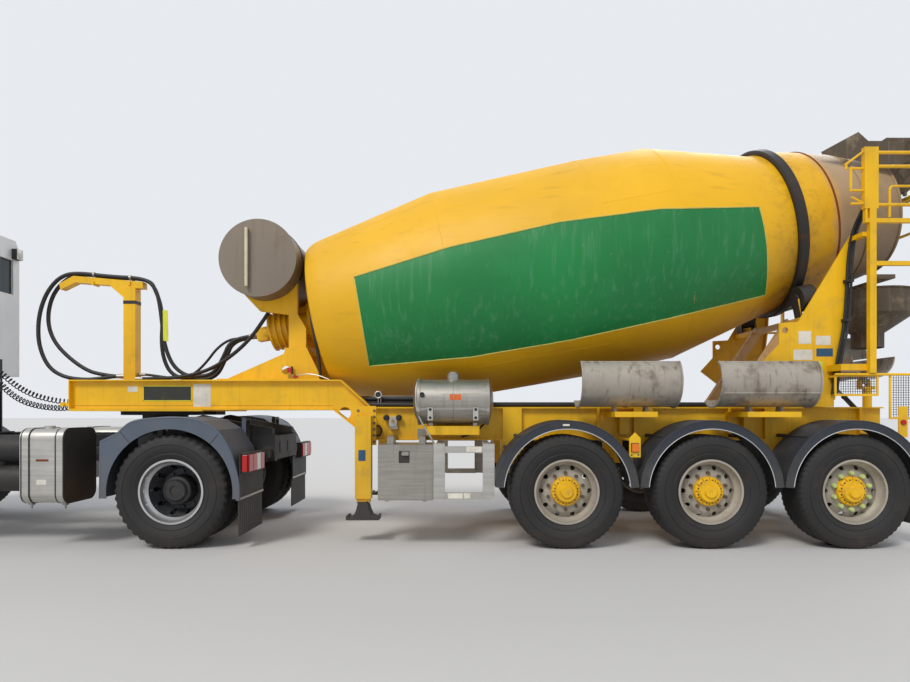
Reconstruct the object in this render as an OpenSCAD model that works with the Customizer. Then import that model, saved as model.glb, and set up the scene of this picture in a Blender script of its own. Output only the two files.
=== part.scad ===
// Articulated concrete mixer truck: a two-axle tractor unit with a cab over its engine, coupled by
// kingpin and fifth wheel to a three-axle semi-trailer that carries the mixing drum.
// Millimetres, +Z up, the vehicle heads along -X, the floor is Z = 0, +Y is its right-hand side.

/* [Stations along the vehicle] */
// Front bumper to front axle
front_overhang = 1400; // [1300:10:1500]
// Front axle to rear axle of the tractor
tractor_wheelbase = 3600; // [3500:10:3900]
// Kingpin ahead of the tractor's rear axle
kingpin_lead = 600; // [450:10:750]
// Kingpin to the first trailer axle
kingpin_to_axle = 4198; // [4100:10:4400]
// Distance between trailer axles
axle_spacing = 1310; // [1300:5:1400]
// Rear edge of the hopper behind the drum's mouth
mouth_to_rear = 552; // [540:2:620]
// Overall width over the tyres
width = 2500; // [2450:10:2550]

/* [Wheels] */
// Outer radius of every tyre
tyre_r = 520; // [500:2:530]
// Section width of the trailer and front tyres
wide_tyre_w = 385; // [365:5:395]
// Section width of the front tyres
steer_tyre_w = 315; // [300:5:325]
// Section width of one twin tyre
twin_tyre_w = 295; // [275:5:305]
// Gap between the two twin tyres
twin_gap = 46; // [40:2:60]
// Radius of the rim's outer flange
rim_r = 297; // [285:1:305]
// Hand holes in each wheel disc
hand_holes = 10; // [6:1:12]
// Radius of the circle of hand holes
hand_hole_pcr = 222; // [216:1:226]
// Radius of a wheel spindle
spindle_r = 50; // [40:1:56]

/* [Trailer frame] */
// Top of the gooseneck
neck_top = 1570; // [1540:5:1600]
// Bottom of the gooseneck, which is the coupling height over the coupling plate
neck_bottom = 1267; // [1260:1:1280]
// Top of the main beams
beam_top = 1297; // [1290:1:1310]
// Bottom of the main beams
beam_bottom = 965; // [950:5:980]
// Outer faces of the two main beams from the centre line
beam_y = 660; // [640:5:680]
// Width of a beam flange
flange_w = 110; // [90:5:120]
// Thickness of a beam flange
flange_t = 14; // [10:1:18]
// Thickness of a beam web
web_t = 10; // [8:1:14]
// Gooseneck front end ahead of the kingpin
neck_front = 669; // [600:10:700]
// Gooseneck slope starts this far behind the kingpin
neck_rear = 2043; // [2030:5:2100]
// Length of the slope from gooseneck to main beam
slope_len = 302; // [280:5:330]
// Coupling plate thickness
coupling_t = 12; // [8:1:12]

/* [Drum] */
// Tilt of the drum's axis, up to the rear
drum_tilt = 11.2; // [10.5:0.1:11.5]
// Height of the axis at the drum's front corner
drum_z = 2240; // [2230:5:2300]
// Front corner of the drum behind the kingpin
drum_from_kingpin = 1762; // [1740:5:1800]
// Radius at the front corner
drum_front_r = 800; // [780:5:820]
// Largest radius of the drum
drum_max_r = 1145; // [1120:5:1150]
// Radius at the mouth
drum_mouth_r = 630; // [600:5:650]
// Length along the axis from front corner to mouth
drum_len = 6000; // [5900:10:6050]
// Thickness of the drum's wall
drum_wall = 8; // [5:1:12]
// Running ring ahead of the mouth, along the axis
ring_back = 1200; // [1180:5:1220]
// Running ring width
ring_w = 100; // [80:5:110]
// Running ring radius
ring_r = 900; // [890:2:915]
// Radius of a support roller
roller_r = 130; // [110:5:140]
// Angle of each support roller from straight below
roller_angle = 38; // [34:1:40]

/* [Chute] */
// Swivel axis ahead of the hopper's rear edge
swivel_lead = 465; // [450:5:500]
// Radius of the chute's half-round trough
chute_r = 230; // [200:5:240]
// Length of the main chute beyond the swivel
chute_len = 1000; // [900:10:1050]
// Wall thickness of the chute
chute_wall = 6; // [4:1:8]
// Height of the trough's centre line when stowed
chute_z = 1850; // [1840:2:1860]

/* [Cab] */
// Length of the cab
cab_len = 1912; // [1850:10:1950]
// Cab side behind the overall width
cab_inset = 30; // [25:1:60]
// Underside of the cab
cab_floor = 1150; // [1140:5:1170]
// Top of the cab
cab_top = 3450; // [3400:10:3550]
// Thickness of the cab's walls
cab_wall = 60; // [40:5:70]
// Door front edge behind the cab's front face
door_front = 330; // [300:5:350]
// Door width
door_w = 930; // [900:10:960]
// Door top edge
door_top = 3050; // [2950:10:3080]
// Height of the side windows' sill
window_sill = 2050; // [1950:10:2150]
// Gap round each door
door_gap = 6; // [5:1:8]

/* [Tractor] */
// Tractor frame rails, outer face from the centre line
rail_y = 430; // [420:5:440]
// Top of the tractor frame
rail_top = 1010; // [1000:5:1020]
// Height of the tractor frame rails
rail_h = 270; // [250:5:280]
// Tractor frame end behind its rear axle
rail_rear = 718; // [680:5:740]

/* [Fits] */
// Radial running clearance of pins and shafts
run_fit = 0.05; // [0.02:0.01:0.1]
// Gap between seated faces
seat = 0.3; // [0.2:0.1:0.5]
// Clearance of moving parts
clear = 6; // [5:1:10]

/* [Hidden] */
total_len = front_overhang + tractor_wheelbase - kingpin_lead + drum_from_kingpin
    + drum_len * cos(drum_tilt) + mouth_to_rear;
x_front = -total_len / 2;
x_rear = total_len / 2;
x_steer = x_front + front_overhang;
x_drive = x_steer + tractor_wheelbase;
x_king = x_drive - kingpin_lead;
x_rail_end = x_drive + rail_rear;
function x_axle(i) = x_king + kingpin_to_axle + i * axle_spacing;
x_neck_front = x_king - neck_front;
x_neck_rear = x_king + neck_rear;
x_beam_front = x_neck_rear + slope_len;
coupling_z = neck_bottom - coupling_t;
x_drum = x_king + drum_from_kingpin;
x_mouth = x_drum + drum_len * cos(drum_tilt);
x_hopper = x_rear - 640;
ring_t = drum_len - ring_back;
x_ring = x_drum + (ring_t + ring_w / 2) * cos(drum_tilt);
z_ring = drum_z + (ring_t + ring_w / 2) * sin(drum_tilt);
x_beam_rear = x_ring + 940;
drum_k = drum_len / 6000;
motor_end = -765;
pedestal_top = 1911;
x_swivel = x_rear - swivel_lead;
wide_y = width / 2 - wide_tyre_w / 2;
steer_y = width / 2 - steer_tyre_w / 2 - 12;
twin_y = width / 2 - twin_tyre_w - twin_gap / 2;
knuckle_y = steer_y - 80;
wheel_z = tyre_r;
king_r = 25.4;
cab_w = width - 2 * cab_inset;
cab_face = x_front + 40;
cab_rear = x_front + cab_len;
bunk_z = 1700;
x_floor_end = x_front + 1340;
x_board = x_king - 2000;
cab_pivot_x = x_front + 70;
cab_pivot_z = cab_floor - 90;
guard_r = tyre_r + 118;
guard_lip = 69;
guard_t = 14;
guard_w = wide_tyre_w + 45;
web_out = beam_y - flange_w / 2 + web_t / 2;
leg_x = x_king + 2306;
leg_rod_z = 1060;
box_x = x_king + 2482;
box_y = -width / 2 + 45;
box_z = 443;
sleeve_r = 70;
post_r = 45;
sleeve_z0 = 1000;
sleeve_z1 = 1190;
chute_pin = [60, chute_z - chute_r - 30];
tip_pin = [chute_len + 10, chute_z + 8];
jack_foot = [150, 1250];
jack_eye = [640, chute_z - chute_r - 35];
jack_len = norm(jack_eye - jack_foot);
jack_angle = atan2(jack_eye[1] - jack_foot[1], jack_eye[0] - jack_foot[0]);
hinge_zs = [1400, 2500];
cab_pin_r = 18;
neck_r = ring_r - 48;
collector_r = 420;
stand_top = 1250;
function stored_x(i) = x_axle(i) + [153, 129][i];
door_hinge_x = x_front + door_front + 3;
eps = 0.01;

yellow = [0.93, 0.70, 0.08];
steel = [0.72, 0.73, 0.74];
dark = [0.16, 0.17, 0.18];
rubber = [0.07, 0.07, 0.07];
white = [0.92, 0.92, 0.90];
zinc = [0.55, 0.56, 0.57];

// A profile drawn in X and Z, extruded across the vehicle from y to y + t
module across(y, t) {
    translate([0, y + t, 0]) rotate([90, 0, 0]) linear_extrude(t) children();
}

// A profile drawn in Y and Z, extruded along the vehicle from x to x + t
module along(x, t) {
    translate([x, 0, 0]) rotate([90, 0, 90]) linear_extrude(t) children();
}

// A box between two corners
module block(a, b) {
    translate(a) cube(b - a);
}

// A rod along X, Y or Z from a point
module rod_x(p, r, l) {
    translate(p) rotate([0, 90, 0]) cylinder(r = r, h = l, $fn = 48);
}
module rod_y(p, r, l) {
    translate(p) rotate([-90, 0, 0]) cylinder(r = r, h = l, $fn = 48);
}
module rod_z(p, r, l) {
    translate(p) cylinder(r = r, h = l, $fn = 48);
}

// A round tube between any two points
module tube_between(a, b, r) {
    d = b - a;
    l = norm(d);
    translate(a) rotate([0, acos(d[2] / l), atan2(d[1], d[0])]) cylinder(r = r, h = l, $fn = 24);
}

// A strip of thickness t between two points of a side profile
module strip(p, q, t) {
    d = (q - p) / norm(q - p);
    n = [-d[1], d[0]] * t;
    polygon([p, q, q - n, p - n]);
}

// Everything that both sides have
module both() {
    children();
    mirror([0, 1, 0]) children();
}

// A rectangle with rounded corners, centred
module round_rect(w, h, r) {
    square([w - 2 * r, h], center = true);
    square([w, h - 2 * r], center = true);
    for (x = [-1, 1]) for (y = [-1, 1])
        translate([x * (w / 2 - r), y * (h / 2 - r)]) circle(r = r, $fn = 48);
}

// Tyre, solid of revolution about Z, its middle plane at Z = 0
module tyre(w) {
    h = w / 2;
    color(rubber) rotate_extrude($fn = 96) polygon([
        [rim_r - 10, -h + 45], [rim_r + 25, -h + 22], [rim_r + 110, -h], [tyre_r - 60, -h + 6],
        [tyre_r - 18, -h + 22], [tyre_r, -h + 48], [tyre_r, h - 48], [tyre_r - 18, h - 22],
        [tyre_r - 60, h - 6], [rim_r + 110, h], [rim_r + 25, h - 22], [rim_r - 10, h - 45]
    ]);
}

// Drop-centre rim with its disc and hub, outer side up: the disc's face at the bolts lies at face, it
// meets the rim at edge, and the hub reaches from hub_in to hub_out. A hub with a cap has radial slots
module rim(w, face, edge, hub_in, hub_out, capped) {
    h = w / 2;
    r = rim_r - 10 - seat;
    hub_r = spindle_r + 86;
    color(steel) difference() {
        union() {
            rotate_extrude($fn = 96) polygon([
                [r, -h + 46], [r, -h + 60], [r - 30, -h + 84], [r - 32, h - 110], [r, h - 70],
                [r, h - 44], [r + 10, h - 34], [r + 10, h - 28], [r - 8, h - 28],
                [r - 12, h - 74], [r - 44, h - 112], [r - 44, -h + 92], [r - 12, -h + 64],
                [r - 12, -h + 46]
            ]);
            rotate_extrude($fn = 96) polygon([
                [spindle_r + run_fit, hub_in], [spindle_r + run_fit, hub_out],
                [spindle_r + 40, hub_out], [spindle_r + 56, hub_out - 26],
                [hub_r - 8, hub_out - 34], [hub_r, hub_out - 46], [hub_r, face], [192, face],
                [r - 38, edge], [r - 38, edge - 14], [186, face - 14], [120, face - 14],
                [120, hub_in]
            ]);
            if (capped) translate([0, 0, hub_out - eps]) cylinder(r1 = 62, r2 = 50, h = 22, $fn = 48);
            // wheel nuts
            for (i = [0:9]) rotate(i * 36 + 18) translate([167.5, 0, face - 2])
                cylinder(r = 17, h = 26, $fn = 6);
        }
        for (i = [0:hand_holes - 1]) {
            rotate(i * 360 / hand_holes) translate([hand_hole_pcr, 0, min(face, edge) - 40])
                cylinder(r = 22, h = abs(face - edge) + 80, $fn = 32);
        }
        if (capped) for (i = [0:11]) rotate(i * 30) translate([spindle_r + 50, -6, hub_out - 44])
            cube([60, 12, 60]);
    }
}

// A single wheel at station x, side +1 right or -1 left
module single_wheel(x, y, w, side) {
    face = w / 2 - 110;
    translate([x, side * y, wheel_z]) rotate([-90 * side, 0, 0]) {
        tyre(w);
        rim(w, face, face - 40, face - 60, face + 70, true);
    }
}

// Twin wheels on one hub, disc to disc
module twin_wheels(side) {
    half = (twin_tyre_w + twin_gap) / 2;
    translate([x_drive, side * twin_y, wheel_z]) rotate([-90 * side, 0, 0]) {
        translate([0, 0, half]) tyre(twin_tyre_w);
        translate([0, 0, -half]) tyre(twin_tyre_w);
        translate([0, 0, half]) rim(twin_tyre_w, 16 - half, -36, 1 - half, 200 - half, false);
        translate([0, 0, -half]) mirror([0, 0, 1])
            rim(twin_tyre_w, 16 - half, -36, 1 - half, 60 - half, false);
    }
}

// One main beam, web and flanges, outer face at beam_y
module main_beam() {
    ty = neck_top;
    across(web_out - web_t, web_t) difference() {
        polygon([
            [x_neck_front, neck_bottom], [x_neck_front, ty], [x_neck_rear, ty],
            [x_beam_front, beam_top], [x_beam_rear, beam_top], [x_beam_rear, beam_bottom],
            [x_beam_front, beam_bottom], [x_neck_rear - 80, neck_bottom]
        ]);
        translate([leg_x, leg_rod_z]) circle(r = 26, $fn = 48);
        translate([x_neck_rear + 31, 1236]) circle(r = 60, $fn = 64);
    }
    across(beam_y - flange_w, flange_w) {
        strip([x_neck_front, ty], [x_neck_rear, ty], flange_t);
        strip([x_neck_rear, ty], [x_beam_front, beam_top], flange_t);
        strip([x_beam_front - 1, beam_top], [x_beam_rear, beam_top], flange_t);
        strip([x_beam_rear, beam_bottom], [x_beam_front, beam_bottom], flange_t);
        strip([x_beam_front, beam_bottom], [x_neck_rear - 80, neck_bottom], flange_t);
        strip([x_neck_rear - 79, neck_bottom], [x_neck_front, neck_bottom], flange_t);
    }
    // end plate of the gooseneck
    block([x_neck_front - 10, beam_y - flange_w, neck_bottom], [x_neck_front, beam_y, ty]);
}

module trailer_frame() {
    bi = beam_y - flange_w / 2;
    color(yellow) {
        both() {
            main_beam();
            // lashing eye on the gooseneck's front end
            block([x_neck_front - 76, beam_y - 46, 1306], [x_neck_front - 9, beam_y - 14, 1338]);
            rod_y([x_neck_front - 76, beam_y - 58, 1322], 22, 56);
            // suspension hangers ahead of each axle
            for (i = [0:2]) {
                x = x_axle(i);
                block([x - 560, beam_y - flange_w, 640],
                    [x - 330, beam_y - flange_w + 14, beam_bottom]);
                block([x - 560, beam_y - 14, 640], [x - 330, beam_y, beam_bottom]);
                block([x - 560, beam_y - flange_w, 660],
                    [x - 546, beam_y, beam_bottom]);
                // stiffener over each hanger
                block([x - 540, web_out - eps, beam_bottom - eps],
                    [x - 350, beam_y, beam_top - flange_t + eps]);
                // gusset between web and flange behind each axle
                block([x + 404, web_out - eps, beam_bottom - eps],
                    [x + 426, beam_y, beam_top - flange_t + eps]);
            }
        }
        // cross members of gooseneck and main frame
        for (x = [x_neck_front, x_king - 500, x_king + 330, x_king + 1000])
            block([x, -bi, neck_bottom], [x + 12, bi, neck_bottom + 180]);
        for (i = [0:2]) {
            block([x_axle(i) - 470, -bi, beam_bottom + 60], [x_axle(i) - 458, bi, beam_top - 110]);
            block([x_axle(i) + 300, -bi, beam_bottom + 60], [x_axle(i) + 312, bi, beam_top - 110]);
        }
        block([x_beam_front + 100, -bi, beam_bottom + 20], [x_beam_front + 112, bi, beam_top - 110]);
        block([x_beam_rear - 12, -bi, beam_bottom], [x_beam_rear, bi, beam_top - 20]);
        // bearing sleeve of the chute's swivel post
        difference() {
            union() {
                rod_z([x_swivel, 0, sleeve_z0], sleeve_r, sleeve_z1 - sleeve_z0);
                block([x_beam_rear - eps, -60, sleeve_z0 + 20], [x_swivel, 60, sleeve_z1 - 30]);
            }
            rod_z([x_swivel, 0, sleeve_z0 - 1], post_r + run_fit, sleeve_z1 - sleeve_z0 + 2);
        }
        // stands for the spare chutes, left side
        for (i = [0:1]) {
            x = stored_x(i) + [314, 260][i];
            block([x, -1100, 1200], [x + [398, 500][i], -web_out + web_t / 2, stand_top]);
            block([x + 150, -700, beam_bottom + 60], [x + 250, -web_out + web_t / 2, 1201]);
        }
        // coupling plate
        block([x_neck_front, -beam_y, coupling_z], [x_king + 660, beam_y, neck_bottom]);
    }
    // kingpin with its collar
    color(zinc) {
        rod_z([x_king, 0, coupling_z - 84], 36, 14);
        rod_z([x_king, 0, coupling_z - 84], king_r, 84);
    }
}

module landing_legs() {
    ly = 900;
    plate_y = ly - 72;
    color(yellow) both() {
        // square leg tube
        difference() {
            block([leg_x - 76, ly - 60, 420], [leg_x + 76, ly + 60, 1209]);
            block([leg_x - 66, ly - 50, 419], [leg_x + 66, ly + 50, 900]);
        }
        // mounting plate on two arms from the beam's web
        block([leg_x - 80, plate_y, 927], [leg_x + 112, ly - 59, 1305]);
        block([leg_x - 60, web_out + seat, 1095], [leg_x - 44, plate_y + 1, 1270]);
        block([leg_x + 20, web_out + seat, 1095], [leg_x + 36, plate_y + 1, 1270]);
        block([leg_x - 60, web_out + seat, 1095], [leg_x + 36, web_out + 14, 1270]);
    }
    color(dark) both() {
        // inner leg and cast foot
        block([leg_x - 62, ly - 46, 380], [leg_x + 62, ly + 46, 700]);
        block([leg_x - 67, ly - 51, 600], [leg_x + 67, ly + 51, 620]);
        across(ly - 90, 180) polygon([
            [leg_x - 157, 223], [leg_x + 157, 223], [leg_x + 157, 262], [leg_x + 140, 262],
            [leg_x + 128, 243], [leg_x + 84, 262], [leg_x + 60, 320], [leg_x + 40, 400],
            [leg_x - 40, 400], [leg_x - 60, 320], [leg_x - 84, 262], [leg_x - 128, 243],
            [leg_x - 140, 262], [leg_x - 157, 262]
        ]);
    }
    color(dark) rod_y([leg_x, -plate_y - 10, leg_rod_z], 20, 2 * plate_y + 20);
}

module running_gear() color(dark) {
    for (i = [0:2]) {
        x = x_axle(i);
        rod_y([x, -wide_y - 140, wheel_z], spindle_r, 2 * wide_y + 280);
        rod_y([x, -wide_y + 130, wheel_z], 73, 2 * wide_y - 260);
        both() {
            // trailing arm from hanger to air bag
            across(beam_y - 74, 40) polygon([
                [x - 500, 700], [x - 400, 750], [x - 60, 640], [x + 80, 640], [x + 330, 560],
                [x + 430, 560], [x + 430, 520], [x + 300, 500], [x + 60, 440], [x - 60, 440],
                [x - 480, 640]
            ]);
            rod_y([x - 445, beam_y - flange_w + 14 + seat, 697], 22, flange_w - 28 - 2 * seat);
            rod_z([x + 370, beam_y - 54, 559], 62, 32);
            rod_z([x + 370, beam_y - 54, 590], 95, beam_bottom - 590 - 14);
            rod_z([x + 370, beam_y - 54, beam_bottom - 15], 60, 15 - seat);
            rod_y([x, wide_y - 170, wheel_z], 200, 60);
        }
    }
}

// Mudguard arc over one wheel, with a flange that hangs from its outer edge
module guard_arc(x, y0, w, r, a0, a1, lip) {
    translate([x, y0, wheel_z]) rotate([-90, 0, 0]) rotate([0, 0, -a1])
        rotate_extrude(angle = a1 - a0, $fn = 96) polygon([
            [r, 0], [r + guard_t, 0], [r + guard_t, w], [r - lip, w], [r - lip, w - 10], [r, w - 10]
        ]);
}

module mudguards_side() color(dark) {
    for (i = [0:2]) {
        guard_arc(x_axle(i), width / 2 - guard_w, guard_w, guard_r, 4, 176, guard_lip);
        // stays to the beam
        for (a = [50, 130])
            translate([x_axle(i), 0, wheel_z]) rotate([0, -a, 0])
                rod_y([guard_r + guard_t - 6, beam_y + seat, 0], 18, width / 2 - beam_y - 60);
    }
    // flap behind the last wheel
    block([x_axle(2) + guard_r + 6, width / 2 - guard_w, 200],
        [x_axle(2) + guard_r + guard_t, width / 2 - 12, 590]);
}

module toolbox() color(steel) {
    difference() {
        block([box_x, box_y, box_z], [box_x + 500, box_y + 450, box_z + 506]);
        block([box_x + 20, box_y - 1, box_z + 20], [box_x + 480, box_y + 430, box_z + 486]);
    }
    // hangers from the beam's web
    for (x = [box_x + 60, box_x + 360]) {
        block([x, box_y + 200, box_z + 505], [x + 60, box_y + 450, beam_bottom + 50]);
        block([x, box_y + 400, beam_bottom + 20], [x + 60, -web_out - seat, beam_bottom + 50]);
    }
    // hinge pins below the opening
    for (x = [box_x + 60, box_x + 400]) {
        block([x, box_y - 18, box_z - 6], [x + 12, box_y + eps, box_z + 6]);
        rod_x([x, box_y - 12, box_z], 5, 40);
    }
}

module toolbox_door() color(steel) {
    block([box_x, box_y - 20 - clear, box_z + 10], [box_x + 500, box_y - clear, box_z + 506]);
    block([box_x + 220, box_y - 34 - clear, box_z + 410], [box_x + 280, box_y - 20 - clear, box_z + 445]);
    for (x = [box_x + 60, box_x + 400]) difference() {
        union() {
            rod_x([x + 13, box_y - 12, box_z], 9, 27);
            block([x + 13, box_y - 20, box_z], [x + 40, box_y - 10, box_z + 12]);
        }
        rod_x([x + 12, box_y - 12, box_z], 5 + run_fit, 30);
    }
}

module side_guards() color(steel) both() {
    y1 = -width / 2 + 20;
    x0 = x_king + 2986;
    for (z = [485, 905])
        block([x0 + 80, y1 + 8, z - 30], [x0 + 470, y1 + 34, z + 30]);
    for (x = [x0, x0 + 450]) {
        // post of open channel section
        difference() {
            block([x, y1, 457], [x + 104, y1 + 60, 958]);
            block([x + 8, y1 + 8, 456], [x + 96, y1 + 61, 928]);
        }
        block([x + 22, y1 + 40, 930], [x + 72, -beam_y + flange_w - web_t, 958]);
        block([x + 22, -beam_y - 40, 958 - eps], [x + 72, -beam_y + flange_w, beam_bottom - seat]);
    }
}

module air_tank() {
    x0 = x_king + 2833;
    y = -905;
    z = 1345;
    color(steel) {
        rod_x([x0, y, z], 212, 666);
        // rims and dished ends
        for (x = [x0 - 4, x0 + 644]) rod_x([x, y, z], 222, 26);
        for (e = [-1, 1]) translate([x0 + 333 + e * 333, y, z]) rotate([0, 90 * e, 0])
            rotate_extrude($fn = 64) polygon([[0, -40], [190, -40], [190, 0], [150, 28], [80, 46], [0, 52]]);
        for (x = [x0 + 100, x0 + 520]) {
            block([x, y - 60, 1114], [x + 40, y + 60, 1180]);
            block([x - 4, y - 226, z - 100], [x + 44, y - 196, z - 60]);
        }
        rod_z([x0 + 330, y, 1540], 60, 72);
        rod_z([x0 + 330, y, 1610], 42, 20);
    }
    color(yellow) difference() {
        block([x0 + 80, y - 90, 1031], [x0 + 580, -web_out - seat, 1115]);
        block([x0 + 79, y - 80, 1030], [x0 + 581, -web_out - 20, 1105]);
    }
    // service duct along the beam's top edge
    color(dark) {
        rod_x([x0 + 560, -beam_y + 30, beam_top + 24 + seat], 24, x_ring - 300 - x0 - 560);
        rod_x([x0 + 560, -beam_y + 84, beam_top + 18 + seat], 18, x_ring - 300 - x0 - 560);
        block([x0 + 560, -beam_y + 10, beam_top + seat], [x0 + 572, -beam_y + 100, beam_top + 50]);
    }
}

module front_pedestal() color(yellow) {
    top = pedestal_top;
    both() across(420, 14) difference() {
        polygon([
            [x_drum - 987, neck_top], [x_drum - 354, top - 62], [x_drum - 333, top],
            [x_drum - 115, top], [x_drum + 51, neck_top]
        ]);
        translate([x_drum - 330, neck_top + 110]) circle(r = 45, $fn = 48);
    }
    block([x_drum - 345, -434, top - 14], [x_drum - 110, 434, top]);
    block([x_drum - 240, -421, neck_top + 14], [x_drum - 226, 421, top - 13]);
    block([x_drum - 987, -590, neck_top + seat], [x_drum + 60, -420, neck_top + 14]);
    block([x_drum - 987, 420, neck_top + seat], [x_drum + 60, 590, neck_top + 14]);
    block([x_drum - 987, -430, neck_top + seat], [x_drum - 880, 430, neck_top + 14]);
}

// Frame of the drum: Z along the axis, origin at the drum's front corner
module on_drum_axis() {
    translate([x_drum, 0, drum_z]) rotate([0, 90 - drum_tilt, 0]) children();
}

module gearbox() color(yellow) {
    top = pedestal_top;
    on_drum_axis() {
        translate([0, 0, -590]) cylinder(r = 178, h = 250, $fn = 64);
        for (z = [-600:60:-360]) translate([0, 0, z]) cylinder(r = 205, h = 22, $fn = 64);
        translate([0, 0, -345]) cylinder(r = 228, h = 50, $fn = 64);
        translate([0, 0, -300]) cylinder(r = 150, h = 150 - seat, $fn = 64);
        for (a = [0:30:330]) rotate(a) translate([191, 0, -366]) cylinder(r = 12, h = 12, $fn = 6);
        // drive motor
        translate([0, 0, -680]) cylinder(r = 82, h = 90, $fn = 48);
        translate([-70, -70, motor_end]) cube([140, 140, -660 - motor_end]);
    }
    block([x_drum - 330, -160, top + seat], [x_drum - 290, 160, 2060]);
    block([x_drum - 338, -200, top + seat], [x_drum - 130, 200, top + 30]);
    block([x_drum - 200, -160, top + 20], [x_drum - 180, 160, 1960]);
}

module water_tank() {
    x = x_king + 1207;
    z = 2790;
    color(steel) {
        rod_y([x, -650, z], 385, 1300);
        for (y = [-654, 634]) rod_y([x, y, z], 389, 20);
        // filler neck and the level gauge's two fittings
        rod_z([x, 236, z + 370], 80, 60);
        for (g = [-280, 280]) rod_y([x - 100, -676, z + g], 14, 30);
    }
    color(rubber) rod_z([x - 100, -690, z - 290], 16, 580);
    // saddle plates on the pedestal, with their straps
    color(yellow) for (y = [-380, 330]) across(y, 50) {
        difference() {
            polygon([
                [x - 250, 2500], [x - 60, 2300], [x + 240, 2262], [x + 240, pedestal_top + seat],
                [x + 420, pedestal_top + seat], [x + 420, 2120], [x + 330, 2270], [x + 330, 2620],
                [x - 250, 2620]
            ]);
            translate([x, z]) circle(r = 385 + seat, $fn = 96);
        }
    }
    color(dark) for (y = [-380, 330]) across(y, 50) difference() {
        translate([x, z]) circle(r = 391, $fn = 96);
        translate([x, z]) circle(r = 384, $fn = 96);
        polygon([[x - 400, 2625], [x - 400, 2300], [x + 400, 2300], [x + 400, 2625]]);
    }
}

module hose_gantry() color(yellow) {
    x = x_king - 384;
    k = x_king;
    block([x - 65, -60, neck_bottom + 5], [x + 65, 60, 2612]);
    across(-50, 100) polygon([
        [k - 1162, 2655], [k - 1005, 2741], [k - 245, 2675], [k - 240, 2606], [k - 319, 2606],
        [k - 319, 2500], [k - 449, 2500], [k - 611, 2640], [k - 983, 2668], [k - 1145, 2590]
    ]);
    block([x - 80, -beam_y + flange_w, neck_bottom + seat],
        [x + 80, beam_y - flange_w, neck_bottom + 30]);
    block([x - 64, -120, neck_bottom + 28], [x - 50, 120, 1500]);
    // clips that hold the hoses on the arm
    for (c = [k - 800, k - 400]) block([c, -62, 2640], [c + 24, 62, 2680]);
}

// A tube swept along a rounded path
function mid(a, b) = (a + b) / 2;
function bezier(a, b, c, t) = a * (1 - t) * (1 - t) + b * 2 * t * (1 - t) + c * t * t;
function smooth_path(p, n) = concat([p[0]], [
    for (i = [1:len(p) - 2]) for (k = [0:n])
        bezier(mid(p[i - 1], p[i]), p[i], mid(p[i], p[i + 1]), (k + (i > 1 ? 1 : 0)) / (n + 1))
], [p[len(p) - 1]]);
function unit(v) = v / norm(v);
module swept(path, r, sides) {
    n = len(path);
    dirs = [for (i = [0:n - 1]) unit(path[min(i + 1, n - 1)] - path[max(i - 1, 0)])];
    side_v = [for (d = dirs) unit(cross(d, [0.13, 1, 0.21]))];
    up_v = [for (i = [0:n - 1]) cross(side_v[i], dirs[i])];
    pts = [
        for (i = [0:n - 1]) for (k = [0:sides - 1])
            path[i] + r * (cos(k * 360 / sides) * side_v[i] + sin(k * 360 / sides) * up_v[i])
    ];
    faces = concat(
        [[for (k = [0:sides - 1]) k]],
        [
            for (i = [0:n - 2]) for (k = [0:sides - 1]) [
                i * sides + k, (i + 1) * sides + k,
                (i + 1) * sides + (k + 1) % sides, i * sides + (k + 1) % sides
            ]
        ],
        [[for (k = [sides - 1:-1:0]) (n - 1) * sides + k]]
    );
    polyhedron(pts, faces);
}

// Hose routes, X from the kingpin. The hydraulic hoses pass over the gantry's arm and end on the motor
function motor_point(d, y) = [
    drum_from_kingpin + (motor_end + d) * cos(drum_tilt), y, drum_z + (motor_end + d) * sin(drum_tilt)
];

hose_1_path = [
    [-449 - seat, -30, 1640], [-560, -30, 1640], [-720, -32, 1615], [-890, -34, 1600], [-1120, -36, 1630],
    [-1290, -38, 1740], [-1385, -38, 1960], [-1402, -36, 2170], [-1378, -34, 2370], [-1305, -30, 2570],
    [-1170, -30, 2730], [-1000, -30, 2782], [-600, -30, 2735], [-210, -30, 2715], [-100, -32, 2590],
    [-60, -34, 2410], [-35, -36, 2200], [-10, -36, 1980], [70, -36, 1770], [200, -36, 1655],
    [360, -36, 1630], [540, -38, 1670], [640, -42, 1850], [720, -45, 2036],
    motor_point(-seat, -45)
];

hose_2_path = [
    [-449 - seat, 30, 1640], [-560, 30, 1640], [-720, 30, 1660], [-890, 30, 1700], [-1080, 30, 1830],
    [-1240, 30, 1990], [-1322, 30, 2160], [-1335, 30, 2350], [-1280, 30, 2550], [-1160, 30, 2700],
    [-1000, 30, 2784], [-600, 30, 2735], [-200, 30, 2718], [-140, 34, 2590], [-85, 40, 2440],
    [-70, 44, 2220], [-84, 46, 2030], [-60, 48, 1835], [20, 48, 1670], [190, 46, 1608],
    [520, 44, 1608], [640, 45, 1850], [715, 45, 2036],
    motor_point(-seat, 45)
];

hose_3_path = [
    [-319 + seat, 0, 1660], [-220, 0, 1660], [-80, 0, 1640], [70, 0, 1620], [200, 0, 1622],
    [320, 0, 1680], [440, 0, 1800], [550, 0, 1950], [690, 0, 2050], [830, 0, 2060],
    motor_point(-100, 0), motor_point(-seat, 0)
];

water_hose_path = [
    [1207, -230, 2405 - seat], [1207, -230, 2330], [1120, -235, 2200], [1010, -225, 2050],
    [850, -200, 1900], [640, -190, 1750], [440, -180, 1665], [200, -160, 1620],
    [-50, -120, 1610], [-220, -40, 1610], [-319 + seat, -40, 1610]
];

module hose(path, n, r, sides) {
    color(rubber) translate([x_king, 0, 0]) swept(smooth_path(path, n), r, sides);
}

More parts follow.
